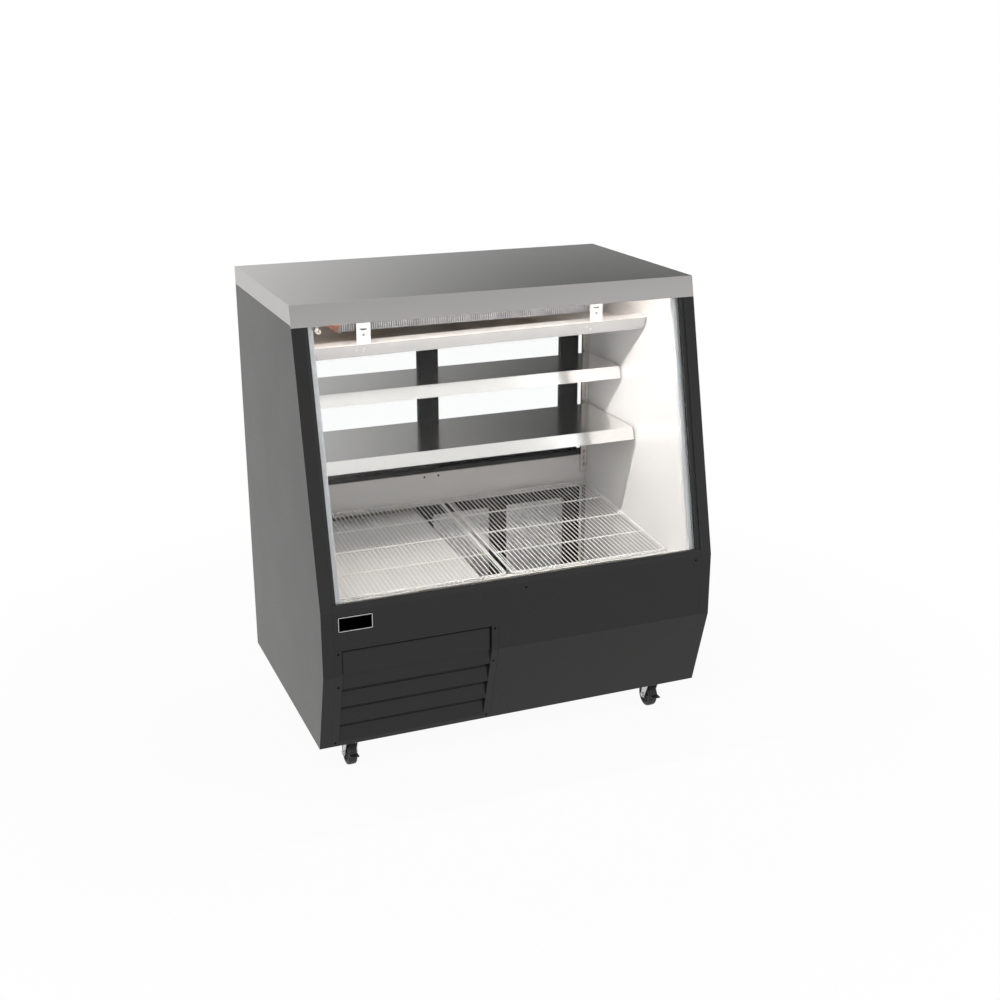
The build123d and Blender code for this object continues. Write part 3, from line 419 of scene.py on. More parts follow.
def plated(name, colour, roughness, spangle):
    """Zinc or aluminium with soft crystal patches."""
    paint = Paint(name, colour, roughness, 1.0)
    cells = paint.node("ShaderNodeTexVoronoi", Scale=spangle)
    paint.link(paint.place, cells.inputs["Vector"])
    patches = cells.outputs["Distance"]
    paint.tint(patches, 0.10)
    fine = paint.noise(400.0, (1, 1, 1), 3.0)
    paint.vary_roughness(fine, roughness - 0.06, roughness + 0.08)
    return paint.relief(fine, 0.04, 0.0002, 0.0005).material


def moulded(name, colour, roughness, grain, strength):
    """Plastic or rubber with a fine moulded grain and a trace of dust."""
    paint = Paint(name, colour, roughness)
    fine = paint.noise(grain, (1, 1, 1), 4.0)
    dust = paint.noise(14.0, (1, 1, 1), 5.0)
    paint.tint(dust, 0.06)
    paint.vary_roughness(dust, roughness - 0.02, roughness + 0.03)
    return paint.relief(fine, strength, 0.0003, 0.0006).material


def chrome(name, colour):
    """Bright plating with faint drawing lines along the height."""
    paint = Paint(name, colour, 0.18, 1.0)
    lines = paint.noise(300.0, (1, 1, 0.02), 4.0)
    paint.tint(lines, 0.06)
    paint.vary_roughness(lines, 0.12, 0.24)
    return paint.relief(lines, 0.03, 0.0002, 0.0004).material


def copper(name):
    """Drawn copper, dulled in patches."""
    paint = Paint(name, (0.72, 0.33, 0.20), 0.32, 1.0)
    patches = paint.noise(40.0, (1, 1, 1), 5.0)
    paint.tint(patches, 0.18)
    paint.vary_roughness(patches, 0.24, 0.42)
    return paint.relief(patches, 0.04, 0.0003).material


def fins_metal(name):
    """Bare fin sheet, darker and duller in patches where frost has stood."""
    paint = Paint(name, (0.60, 0.60, 0.60), 0.38, 1.0)
    patches = paint.noise(18.0, (1, 1, 1), 4.0)
    paint.tint(patches, 0.12)
    paint.vary_roughness(patches, 0.30, 0.46)
    return paint.relief(paint.noise(600.0), 0.05, 0.0002).material


def glass(name):
    """Clear float glass with a faint green body; light for other surfaces passes through it."""
    paint = Paint(name, (0.99, 0.995, 0.993), 0.0)
    paint.shader.inputs["Transmission Weight"].default_value = 1.0
    paint.shader.inputs["IOR"].default_value = 1.12
    smears = paint.noise(6.0, (1, 1, 0.6), 5.0)
    paint.vary_roughness(smears, 0.0, 0.012)
    clear = paint.tree.nodes.new("ShaderNodeBsdfTransparent")
    clear.inputs["Color"].default_value = (0.97, 0.975, 0.972, 1.0)
    path = paint.tree.nodes.new("ShaderNodeLightPath")
    either = paint.tree.nodes.new("ShaderNodeMath")
    either.operation = "MAXIMUM"
    paint.link(path.outputs["Is Shadow Ray"], either.inputs[0])
    paint.link(path.outputs["Is Diffuse Ray"], either.inputs[1])
    mix = paint.tree.nodes.new("ShaderNodeMixShader")
    paint.link(either.outputs["Value"], mix.inputs["Fac"])
    paint.link(paint.shader.outputs["BSDF"], mix.inputs[1])
    paint.link(clear.outputs["BSDF"], mix.inputs[2])
    output = paint.tree.nodes["Material Output"]
    paint.link(mix.outputs["Shader"], output.inputs["Surface"])
    return paint.material


def spacer_metal(name):
    """Rolled spacer bar, slightly scuffed along its length."""
    paint = Paint(name, (0.80, 0.82, 0.84), 0.42, 0.7)
    scuffs = paint.noise(160.0, (1, 1, 0.2), 4.0)
    paint.tint(scuffs, 0.05)
    paint.vary_roughness(scuffs, 0.38, 0.48)
    return paint.relief(scuffs, 0.03, 0.0002).material


def lamp_cover(name):
    """Glowing diffuser with faint ribs along the lamp."""
    paint = Paint(name, (0.95, 0.95, 0.94), 0.4)
    ribs = paint.noise(500.0, (0.01, 1, 1), 2.0)
    paint.vary_roughness(ribs, 0.35, 0.5)
    paint.relief(ribs, 0.1, 0.0004)
    paint.shader.inputs["Emission Color"].default_value = (1.0, 0.97, 0.93, 1.0)
    paint.shader.inputs["Emission Strength"].default_value = 3.0
    return paint.material


def board(name):
    """Raw board with a chip pattern."""
    paint = Paint(name, (0.50, 0.36, 0.22), 0.75)
    chips = paint.noise(160.0, (1, 1, 1), 6.0)
    paint.tint(chips, 0.3)
    return paint.relief(chips, 0.3, 0.0006).material


def foam(name):
    """Cellular foam, aged to a dull buff."""
    paint = Paint(name, (0.42, 0.39, 0.31), 0.9)
    cells = paint.noise(700.0, (1, 1, 1), 4.0)
    paint.tint(paint.noise(9.0), 0.08)
    return paint.relief(cells, 0.4, 0.0006).material


counter_steel = brushed("counter_steel", (0.58, 0.568, 0.557), 0.16, 0.21, 0.0012)
shelf_steel = brushed("shelf_steel", (0.74, 0.72, 0.705), 0.12, 0.18, 0.0006)
black_sheet = coated("black_powder_coat", (0.010, 0.010, 0.010), 0.28, 1400.0, 0.03, 0.0010, 0.04, 0.42)
white_sheet = coated("white_enamel", (0.79, 0.775, 0.768), 0.32, 900.0, 0.03, 0.0006, 0.015)
white_wire = coated("white_wire_coat", (0.84, 0.83, 0.81), 0.36, 1200.0, 0.05, 0.0, 0.02)
black_plastic = moulded("black_plastic", (0.014, 0.014, 0.015), 0.42, 1800.0, 0.06)
grey_plastic = moulded("grey_plastic", (0.16, 0.165, 0.17), 0.5, 1500.0, 0.06)
seal_rubber = moulded("seal_rubber", (0.010, 0.010, 0.010), 0.55, 1200.0, 0.08)
tread_rubber = moulded("tread_rubber", (0.014, 0.014, 0.014), 0.48, 700.0, 0.12)
strip_plastic = moulded("breaker_strip_plastic", (0.80, 0.79, 0.785), 0.36, 900.0, 0.03)
black_oxide = coated("black_oxide", (0.003, 0.003, 0.003), 0.55, 900.0, 0.05, 0.0, 0.05, 0.12)
gloss_black = coated("plate_black", (0.006, 0.006, 0.007), 0.12, 300.0, 0.01, 0.0004, 0.05)
door_black = coated("door_black", (0.008, 0.008, 0.009), 0.24, 1500.0, 0.03, 0.0006, 0.05, 0.4)
motor_enamel = coated("motor_enamel", (0.014, 0.014, 0.016), 0.28, 500.0, 0.08, 0.0010, 0.1)
zinc = plated("zinc_plate", (0.66, 0.665, 0.67), 0.30, 160.0)
galvanised = plated("galvanised_sheet", (0.56, 0.57, 0.58), 0.36, 55.0)
bright_steel = chrome("bright_standard", (0.70, 0.67, 0.66))
bright_edge = plated("bright_edge", (0.86, 0.86, 0.86), 0.34, 90.0)
copper_tube = copper("copper_tube")
fin_metal = fins_metal("fin_sheet")
fin_shadow = coated("fin_shadow", (0.045, 0.042, 0.040), 0.6, 900.0, 0.05)
# Grey for the pan's white face: painted shade, where the face turns away from the lamp.
pan_face_painted_shade = coated("pan_face_painted_shade", (0.235, 0.233, 0.232), 0.34, 900.0, 0.03, 0.0, 0.015)
clear_glass = glass("float_glass")
spacer = spacer_metal("spacer_bar")
diffuser = lamp_cover("lamp_diffuser")
raw_board = board("raw_board")
aged_foam = foam("cellular_foam")

slot_paint = {
    "brushed_steel": counter_steel,
    "counter_board": raw_board,
    "black_sheet": black_sheet,
    "white_sheet": white_sheet,
    "foam": aged_foam,
    "zinc": zinc,
    "steel_base": galvanised,
    "glass": clear_glass,
    "spacer": spacer,
    "seal": seal_rubber,
    "door_frame": door_black,
    "track": black_plastic,
    "standard": bright_steel,
    "shelf_steel": shelf_steel,
    "white_wire": white_wire,
    "fin_aluminium": fin_metal,
    "copper": copper_tube,
    "lamp": diffuser,
    "motor_black": motor_enamel,
    "black_plastic": black_plastic,
    "grey_plastic": grey_plastic,
    "tread": tread_rubber,
    "plate_black": gloss_black,
}


def dress_frame():
    """Gives every CAD node the finish of its slot."""
    for part in frame["record"]["subparts"]:
        node = frame["nodes"][part["node"]]
        for slot in node.material_slots:
            slot.material = slot_paint[part["material_slot"]]


# Wire racks
def wire_rack(node):
    """Round coated wires: a closed rim, a stout front bar, cross wires, and long wires turned down."""
    low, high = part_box(node)
    depth = high.y - low.y
    slope = RACK_FALL / depth

    def at(x, y, down):
        return Vector((x, y, high.z - (high.y - y) * slope - down))

    left = low.x + RACK_RIM
    right = high.x - RACK_RIM
    rear = high.y - RACK_RIM
    front = low.y - RACK_REACH
    front_rim = front + 0.016
    bar_radius = 0.0036
    parts = []
    rim_points = []
    for x, y in rounded_loop(left, right, front_rim, rear, 0.014, 0.0, 5):
        rim_points.append(at(x, y, RACK_RIM))
    parts.append(ring_tube(rim_points, RACK_RIM, 10))
    bar = [
        at(low.x + bar_radius, front_rim + 0.010, bar_radius),
        at(low.x + bar_radius + 0.003, front_rim + 0.003, bar_radius),
        at(low.x + bar_radius + 0.010, front_rim, bar_radius),
        at(high.x - bar_radius - 0.010, front_rim, bar_radius),
        at(high.x - bar_radius - 0.003, front_rim + 0.003, bar_radius),
        at(high.x - bar_radius, front_rim + 0.010, bar_radius),
    ]
    parts.append(tube(bar, bar_radius, 10))
    for inset in (0.0075, 0.0150):
        for x in (left + inset, right - inset):
            parts.append(tube([at(x, rear, RACK_WIRE), at(x, front_rim, RACK_WIRE)], RACK_WIRE, 7))
    bays = 4
    for bay in range(1, bays):
        y = front_rim + (rear - front_rim) * bay / bays
        parts.append(tube([at(left, y, 0.0033), at(right, y, 0.0033)], RACK_CROSS_WIRE, 8))
    count = int((high.x - low.x - 0.01) / RACK_PITCH)
    pitch = (right - left) / count
    bend = 0.004
    for index in range(2, count - 1):
        x = left + index * pitch
        points = [at(x, rear, RACK_WIRE), at(x, front + bend + RACK_WIRE, RACK_WIRE)]
        for step in range(1, 5):
            turn = pi / 2 * step / 4
            y = front + RACK_WIRE + bend * (1 - sin(turn))
            points.append(at(x, y, RACK_WIRE + bend * (1 - cos(turn))))
        points.append(at(x, front + RACK_WIRE, 0.0082))
        parts.append(tube(points, RACK_WIRE, 7))
    return piece(f"{node}_wires", parts, ROOT, white_wire, (node,))


# Cooling coil
def coil_dressing():
    """Fins with broad front lips in the place of the coarse ones, over a dark block of painted shade that
    stands for the shaded further fins.
    """
    low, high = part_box("coil_fins")
    count = int((high.x - low.x) / FIN_PITCH)
    parts = []
    for index in range(count + 1):
        x = low.x + index * (high.x - low.x - FIN_THICK) / count
        parts.append(chamfered_box((x, low.y, low.z), (x + FIN_THICK, high.y, high.z), 0.0001))
        if index < count:
            parts.append(chamfered_box((x, low.y, low.z), (x + FIN_LIP, low.y + 0.0012, high.z), 0.0002))
    piece("fine_coil_fins", parts, ROOT, fin_metal, ("coil_fins",))
    # Dark block behind the fin lips: painted shade in place of the deeper fins.
    core_low = (low.x + 0.001, low.y + 0.008, low.z)
    core_high = (high.x - 0.001, high.y - 0.006, high.z)
    core = chamfered_box(core_low, core_high, 0.0003)
    piece("coil_fin_painted_shade", [core], ROOT, fin_shadow)
    tubes_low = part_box("coil_tubes")[0]
    margin = 0.003
    plate_low = (tubes_low.x + 0.014, low.y - margin, low.z - margin)
    plate_high = (tubes_low.x + 0.0155, high.y + margin, high.z)
    plate = chamfered_box(plate_low, plate_high, 0.0003)
    piece("copper_end_plate", [plate], ROOT, copper_tube)


# Fasteners
def islands(node):
    """Centres of a node's separate solids."""
    mesh = frame["nodes"][node].data
    parent = list(range(len(mesh.vertices)))

    def find(index):
        while parent[index] != index:
            parent[index] = parent[parent[index]]
            index = parent[index]
        return index

    keys = {}
    for vertex in mesh.vertices:
        key = tuple(round(value, 6) for value in vertex.co)
        if key in keys:
            parent[find(vertex.index)] = find(keys[key])
        keys[key] = vertex.index
    for edge in mesh.edges:
        first, second = edge.vertices
        parent[find(first)] = find(second)
    groups = {}
    for vertex in mesh.vertices:
        groups.setdefault(find(vertex.index), []).append(vertex.co)
    centres = []
    for members in groups.values():
        low = Vector([min(point[axis] for point in members) for axis in range(3)])
        high = Vector([max(point[axis] for point in members) for axis in range(3)])
        centres.append((low + high) / 2)
    return centres


def cabinet_screws():
    """Cross-recess heads in the place of the plain ones."""
    forward = Vector((0, -1, 0))
    toe = Vector((0, -cos(TOE_SLOPE), -sin(TOE_SLOPE)))
    parts = []
    for centre in islands("cabinet_screws"):
        if centre.y > 0:
            outward, sink, radius = forward, SCREW_SINK, SMALL_SCREW_RADIUS
        elif centre.z < TOE_BEND_HEIGHT:
            outward, sink, radius = toe, SCREW_SINK, SCREW_RADIUS
        else:
            outward, sink, radius = forward, FRONT_SCREW_SINK, SCREW_RADIUS
        parts.append(screw_head(centre - outward * sink, outward, radius, SCREW_RISE))
    piece("cross_recess_screws", parts, ROOT, black_oxide, ("cabinet_screws",))


def rear_screws():
    """Screws round the outer back panel and along the header."""
    parts = []
    panel_low, panel_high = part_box("back_panel")
    inset = 0.014
    seat = 0.0002
    flush_rise = 0.0004
    header_drop = 0.03
    for x in (panel_low.x + inset, 0.0, panel_high.x - inset):
        for z in (panel_low.z + inset, panel_high.z - inset):
            parts.append(screw_head((x, panel_high.y - seat, z), (0, 1, 0), SCREW_RADIUS, flush_rise))
    header_low, header_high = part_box("rear_header")
    for x in (-0.5, -0.2, 0.1, 0.36):
        spot = (x, header_high.y - seat, header_low.z + header_drop)
        parts.append(screw_head(spot, (0, 1, 0), SCREW_RADIUS, SCREW_RISE))
    piece("rear_wall_screws", parts, ROOT, black_oxide)


def sheet_run(outer, inner, left, right):
    """A folded sheet from its two faces' (y, z) points, carried between two ends with a fall along X."""
    corners = []
    for x in (left, right):
        for y, z in outer + inner:
            corners.append((x, y, z + PAN_FALL * x))
    count = len(outer)
    span = 2 * count
    faces = []
    for step in range(count - 1):
        faces.append((step, step + 1, span + step + 1, span + step))
        faces.append((count + step + 1, count + step, span + count + step, span + count + step + 1))
        faces.append((step + 1, step, count + step, count + step + 1))
        faces.append((span + step, span + step + 1, span + count + step + 1, span + count + step))
    for step in (0, count - 1):
        faces.append((step, span + step, span + count + step, count + step))
    return corners, faces


def drain_pan():
    """The pan with its broad front rim and deep face, and a cheek at each end; the white face carries a
    grey layer of painted shade.
    """
    low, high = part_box("drain_pan")
    front = low.y + PAN_EDGE
    rear = high.y - PAN_EDGE
    floor_z = PAN_RIM - PAN_FACE_HEIGHT
    outer = [
        (front + PAN_RIM_DEPTH, PAN_RIM),
        (front, PAN_RIM),
        (front + PAN_FACE_RUN, floor_z),
        (rear, floor_z),
        (rear, PAN_RIM + PAN_REAR_RISE),
    ]
    inner = [
        (front + PAN_RIM_DEPTH, PAN_RIM - PAN_THICK),
        (front + 0.0020, PAN_RIM - PAN_THICK),
        (front + PAN_FACE_RUN + 0.001, floor_z + PAN_THICK),
        (rear - PAN_THICK, floor_z + PAN_THICK),
        (rear - PAN_THICK, PAN_RIM + PAN_REAR_RISE),
    ]
    cheek_outline = (
        (front + 0.0015, PAN_RIM - PAN_EDGE),
        (front + PAN_FACE_RUN, floor_z + PAN_EDGE),
        (rear - PAN_EDGE, floor_z + PAN_EDGE),
        (rear - PAN_EDGE, PAN_RIM + 0.016),
    )
    left = low.x + PAN_END_GAP
    right = high.x - PAN_END_GAP
    parts = [sheet_run(outer, inner, left, right)]
    for x0, x1 in ((left, left + PAN_THICK), (right - PAN_THICK, right)):
        cheek = [(x, y, z + PAN_FALL * x) for x in (x0, x1) for y, z in cheek_outline]
        parts.append((cheek, BLOCK_FACES))
    piece("folded_pan", parts, ROOT, white_sheet, ("drain_pan",))
    # A thin grey layer over the white face: painted shade, not a different enamel.
    face_front = [(front - 0.0002, PAN_RIM - 0.0008), (front + PAN_FACE_RUN - 0.0003, floor_z + PAN_EDGE)]
    face_back = [(y + 0.0004, z) for y, z in face_front]
    face = sheet_run(face_front, face_back, left, right)
    piece("pan_face", [face], ROOT, pan_face_painted_shade)
    pan_screws(front)


def pan_screws(front):
    """Two groups of three small screws on the pan's face, one under each hanger."""
    outward = Vector((0, -PAN_FACE_HEIGHT, -PAN_FACE_RUN)).normalized()
    left_group = ((-0.365, 0.45), (-0.345, 0.60), (-0.343, 0.36))
    right_group = ((0.37, 0.36), (0.385, 0.60), (0.40, 0.36))
    heads = []
    for x, share in left_group + right_group:
        z = PAN_RIM - PAN_FACE_HEIGHT * share + PAN_FALL * x
        spot = Vector((x, front + PAN_FACE_RUN * share, z))
        heads.append(screw_head(spot - outward * 0.0002, outward, PAN_SCREW_RADIUS, PAN_SCREW_RADIUS / 2))
    piece("pan_screws", heads, ROOT, zinc)


def drain_fitting():
    """White ring with its bore, on a wire clip that hangs from the counter's core."""
    centre = Vector(FITTING_PLACE)
    profile = [
        (0.0, 0.0),
        (0.0075, 0.0),
        (0.0075, 0.004),
        (0.0062, 0.0045),
        (0.0062, 0.020),
        (0.0046, 0.020),
        (0.0032, 0.0195),
        (0.0032, 0.006),
        (0.0, 0.006),
    ]
    fitting = turned(profile, centre, (0, -1, 0))
    wire = [centre, centre + Vector((0, 0.004, 0)), (centre.x, centre.y + 0.008, CORE_UNDERSIDE)]
    clip = tube(wire, 0.0024, 8)
    piece("drain_fitting", [fitting, clip], ROOT, white_sheet)


def name_plate():
    """Blank gloss plate with a thin bright edge."""
    low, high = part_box("name_plate")
    face = low.y + 0.0003
    left = low.x + PLATE_CORNER
    right = high.x - PLATE_CORNER
    bottom = low.z + PLATE_CORNER
    top = high.z - PLATE_CORNER
    plate = chamfered_box((low.x, face, bottom), (high.x, high.y, top), 0.0002)
    middle = chamfered_box((left, face, low.z), (right, high.y, high.z), 0.0002)
    corners = []
    for x in (left, right):
        for z in (bottom, top):
            disc = [(PLATE_CORNER, 0), (PLATE_CORNER, high.y - face)]
            corners.append(turned(disc, (x, face, z), (0, 1, 0), 32))
    parts = [plate, middle] + corners
    piece("blank_plate", parts, ROOT, gloss_black, ("name_plate",))
    profile = [
        (0.0018, face + 0.0002),
        (0.0018, low.y + 0.0001),
        (0.0021, low.y + 0.00002),
        (0.0029, low.y + 0.00002),
        (0.0032, low.y + 0.0001),
        (0.0032, face + 0.0002),
    ]
    rim = border(low.x, high.x, low.z, high.z, PLATE_CORNER, profile)
    piece("plate_border", [rim], ROOT, bright_edge)


def sill_strip():
    """Black strip that closes the sill between the front panel and the outer pane."""
    glass_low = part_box("front_glass_outer")[0]
    panel_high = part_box("front_panel")[1]
    top = panel_high.z - 0.0006
    low = glass_low.z + 0.0004
    seam = half_width - 0.0345
    front = knee_y + FRONT_RAKE * (top - KNEE_HEIGHT) + STEEL_THICK + 0.0004
    rear = glass_low.y + FRONT_RAKE * (low - glass_low.z)
    strip = chamfered_box((-seam, front, low), (seam, rear, top), 0.0003)
    piece("sill_strip", [strip], ROOT, seal_rubber)


def liner_bushes():
    """Dark bushes in the two small holes of the white rear wall."""
    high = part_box("back_liner")[1]
    parts = []
    for x in (-BUSH_SPREAD, BUSH_SPREAD):
        spot = (x, back_inner_y - 0.0001, high.z - BUSH_DROP)
        parts.append(turned([(0.0036, 0), (0.0036, 0.0006), (0.0030, 0.0009)], spot, (0, -1, 0)))
    piece("liner_bushes", parts, ROOT, black_oxide)


def grille_painted_shadow():
    """Matte black strips on the sheet behind the grille's mouth, along its top and sides: painted shadow of
    the corner behind the grille's edge.
    """
    low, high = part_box("grille_panel")
    left = low.x + 0.0212
    right = high.x - 0.0212
    top = high.z - 0.004
    front = knee_y + 0.0074
    rear = knee_y + 0.0082
    bottom = TOE_BEND_HEIGHT + 0.002
    band = 0.0085
    leg = 0.004
    gap = 0.0002
    # These bands stand where the corner lies in shade: painted shadow.
    parts = [chamfered_box((left, front, top - band), (right, rear, top - gap), 0.0003)]
    for x in (left + gap, right - leg - gap):
        parts.append(chamfered_box((x, front, bottom), (x + leg, rear, top - band - gap), 0.0003))
    piece("grille_painted_shadow", parts, ROOT, black_oxide)


# Doors
def door_trim(side):
    """Glazing beads on both faces of a door, and the cup of its finger pull."""
    body = f"rear_door_{side}"
    frame_low, frame_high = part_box(f"{body}_frame")
    glass_low, glass_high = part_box(f"{body}_glass")
    left = glass_low.x + 0.006
    right = glass_high.x - 0.006
    low = glass_low.z + 0.0079
    high = glass_high.z - 0.006
    parts = []
    for face, outward in ((frame_low.y, -1), (frame_high.y, 1)):
        pane = glass_low.y if outward < 0 else glass_high.y
        inner = pane + outward * 0.0002
        outer = face + outward * 0.0001
        profile = [
            (0.0, inner),
            (0.0, outer),
            (0.0015, outer + outward * 0.0009),
            (0.0040, outer),
            (0.0055, inner + outward * 0.0010),
            (0.0055, inner),
        ]
        parts.append(border(left, right, low, high, 0.0061, profile))
    piece(f"{body}_glazing_bead", parts, body, seal_rubber)
    steps = []
    for x0, x1 in ((frame_low.x, left), (right, frame_high.x)):
        for share in (0.30, 0.62):
            x = x0 + (x1 - x0) * share
            bead = chamfered_box(
                (x - 0.004, frame_low.y - 0.0008, frame_low.z + 0.002),
                (x + 0.004, frame_low.y + 0.0004, frame_high.z - 0.002),
                0.0004,
            )
            steps.append(bead)
    piece(f"{body}_stile_ribs", steps, body, door_black)
    pull_x = frame_low.x + PULL_INSET if side == "left" else frame_high.x - PULL_INSET
    cup = border(
        pull_x - PULL_HALF,
        pull_x + PULL_HALF,
        PULL_LOW,
        PULL_HIGH,
        0.004,
        [
            (-0.002, frame_high.y),
            (-0.0016, frame_high.y + 0.0009),
            (0.0, frame_high.y + 0.0010),
            (0.0008, frame_high.y - 0.0002),
            (0.0009, frame_high.y - 0.0045),
            (-0.0001, frame_high.y - 0.0045),
        ],
    )
    piece(f"{body}_pull_cup", [cup], body, zinc)


# Linings
def breaker_strips():
    """Pale plastic strips on the side walls, along the inner pane."""
    thick = 0.0012
    width = 0.017
    stretch = hypot(1, FRONT_RAKE)
    counter_front = back_y - 0.674

    def front_y(z, inset):
        return counter_front + FRONT_RAKE * (z - height) + inset * stretch

    low = 0.575
    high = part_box("front_glass_inner")[1].z - 0.001
    parts = []
    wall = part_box("well_tub")[1].x + 0.0003
    for side in (-1, 1):
        outer = side * wall
        inner = side * (wall - thick)
        profile = [
            (front_y(low, GLASS_INSET + 0.001), low),
            (front_y(high, GLASS_INSET + 0.001), high),
            (front_y(high, GLASS_INSET + width), high),
            (front_y(low, GLASS_INSET + width), low),
        ]
        bevel = [
            (front_y(low, GLASS_INSET + 0.003), low),
            (front_y(high, GLASS_INSET + 0.003), high),
            (front_y(high, GLASS_INSET + width - 0.003), high),
            (front_y(low, GLASS_INSET + width - 0.003), low),
        ]
        corners = [(outer, y, z) for y, z in profile] + [(inner, y, z) for y, z in bevel]
        faces = [(3, 2, 1, 0), (4, 5, 6, 7), (0, 1, 5, 4), (1, 2, 6, 5), (2, 3, 7, 6), (3, 0, 4, 7)]
        if side < 0:
            faces = [tuple(reversed(face)) for face in faces]
        parts.append((corners, faces))
    piece("breaker_strips", parts, ROOT, strip_plastic)


def duct_sheets():
    """Galvanised panels between the legs of the black frame at the back of the well."""
    low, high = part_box("rear_duct_frame")
    parts = []
    front = high.y - 0.0015
    top = high.z - 0.045
    for left, right in ((low.x + 0.062, 0.2195), (0.2815, high.x - 0.062)):
        parts.append(chamfered_box((left, front, low.z + 0.001), (right, high.y - 0.0002, top), 0.0003))
    piece("duct_panels", parts, ROOT, galvanised)
    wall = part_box("well_tub")[1].x
    if wall > high.x + 0.0006:
        side_low = (high.x + 0.0002, front, low.z + 0.001)
        side = chamfered_box(side_low, (wall - 0.0002, high.y - 0.0002, high.z), 0.0002)
        piece("duct_side_panel", [side], ROOT, white_sheet)


# Casters
def hexagon(centre, axis, across, thick):
    """A hexagonal nut or bolt head with its corners taken down."""
    radius = across / 3 ** 0.5
    return turned(
        [(radius * 0.86, 0.0), (radius, thick * 0.12), (radius, thick * 0.85), (radius * 0.88, thick)],
        centre,
        axis,
        6,
    )


def caster_bolts():
    """Bolts through the caster plates into the base."""
    parts = []
    plate_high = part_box("caster_plates")[1]
    hole_z = plate_high.z - 0.003
    washer = 0.0014
    profile = [(0.007, 0), (0.0075, 0.0004), (0.0075, 0.0012), (0.007, washer)]
    for centre in islands("caster_plates"):
        for dx in (-CASTER_HOLE_X, CASTER_HOLE_X):
            for dy in (-CASTER_HOLE_Y, CASTER_HOLE_Y):
                spot = Vector((centre.x + dx, centre.y + dy, hole_z))
                parts.append(turned(profile, spot, (0, 0, -1)))
                parts.append(hexagon(spot + Vector((0, 0, -washer)), (0, 0, -1), 0.011, 0.0045))
    piece("caster_bolts", parts, ROOT, zinc)


def wheel_dressing(name):
    """A tread ring, dished hub with spokes and its bearing on each face of one wheel."""
    node = f"caster_wheel_{name}"
    low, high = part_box(node)
    centre = (low + high) / 2
    radius = (high.z - low.z) / 2
    half = (high.x - low.x) / 2
    profile = [
        (0.00405, -half + 0.001),
        (0.0095, -half + 0.001),
        (0.010, -half + 0.002),
        (0.010, -half + 0.004),
        (0.024, -half + 0.004),
        (0.026, -half + 0.0005),
        (radius - 0.005, -half),
        (radius - 0.0016, -half + 0.0018),
        (radius, -half + 0.006),
        (radius, half - 0.006),
        (radius - 0.0016, half - 0.0018),
        (radius - 0.005, half),
        (0.026, half - 0.0005),
        (0.024, half - 0.004),
        (0.010, half - 0.004),
        (0.010, half - 0.002),
        (0.0095, half - 0.001),
        (0.00405, half - 0.001),
    ]
    corners, faces = turned(profile, centre, (1, 0, 0), WHEEL_SIDES)
    faces = faces[:-2]
    last = (len(profile) - 1) * WHEEL_SIDES
    for step in range(WHEEL_SIDES):
        following = (step + 1) % WHEEL_SIDES
        faces.append((last + step, last + following, following, step))
    parts = [(corners, faces)]
    for side in (-1, 1):
        for spoke in range(SPOKES):
            turn = 2 * pi * spoke / SPOKES
            along = Vector((0, cos(turn), sin(turn)))
            across = Vector((0, -sin(turn), cos(turn))) * 0.0012
            face_x = centre.x + side * (half - 0.0041)
            rise = Vector((side * 0.0022, 0, 0))
            start = Vector((face_x, centre.y, centre.z)) + along * 0.0098
            end = Vector((face_x, centre.y, centre.z)) + along * 0.0248
            base = [start - across, start + across, end + across, end - across]
            top = [point + rise for point in base]
            parts.append((base + top, BLOCK_FACES))
    piece(f"{node}_tread", parts, f"wheel_{name}", tread_rubber, (node,))


def casters():
    """Bolts for the plates, and a dressing for each wheel."""
    caster_bolts()
    for name in ("front_left", "front_right", "rear_left", "rear_right"):
        wheel_dressing(name)


# Compressor
def compressor_trim():
    """Weld seam round the compressor's can, and its terminal cover."""
    low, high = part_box("compressor")
    centre_x = (low.x + high.x) / 2
    centre_y = (low.y + high.y) / 2
    radius = COMPRESSOR_RADIUS
    seam_z = low.z + 0.085
    profile = [
        (radius - 0.002, -0.004),
        (radius + 0.004, -0.003),
        (radius + 0.005, 0),
        (radius + 0.004, 0.003),
        (radius - 0.002, 0.004),
    ]
    seam = turned(profile, (centre_x, centre_y, seam_z), (0, 0, 1), 48)
    cover = chamfered_box(
        (centre_x + radius - 0.012, centre_y - 0.025, low.z + 0.035),
        (centre_x + radius + 0.010, centre_y + 0.025, low.z + 0.078),
        0.004,
    )
    piece("compressor_seam", [seam], ROOT, motor_enamel)
    piece("terminal_cover", [cover], ROOT, black_plastic)


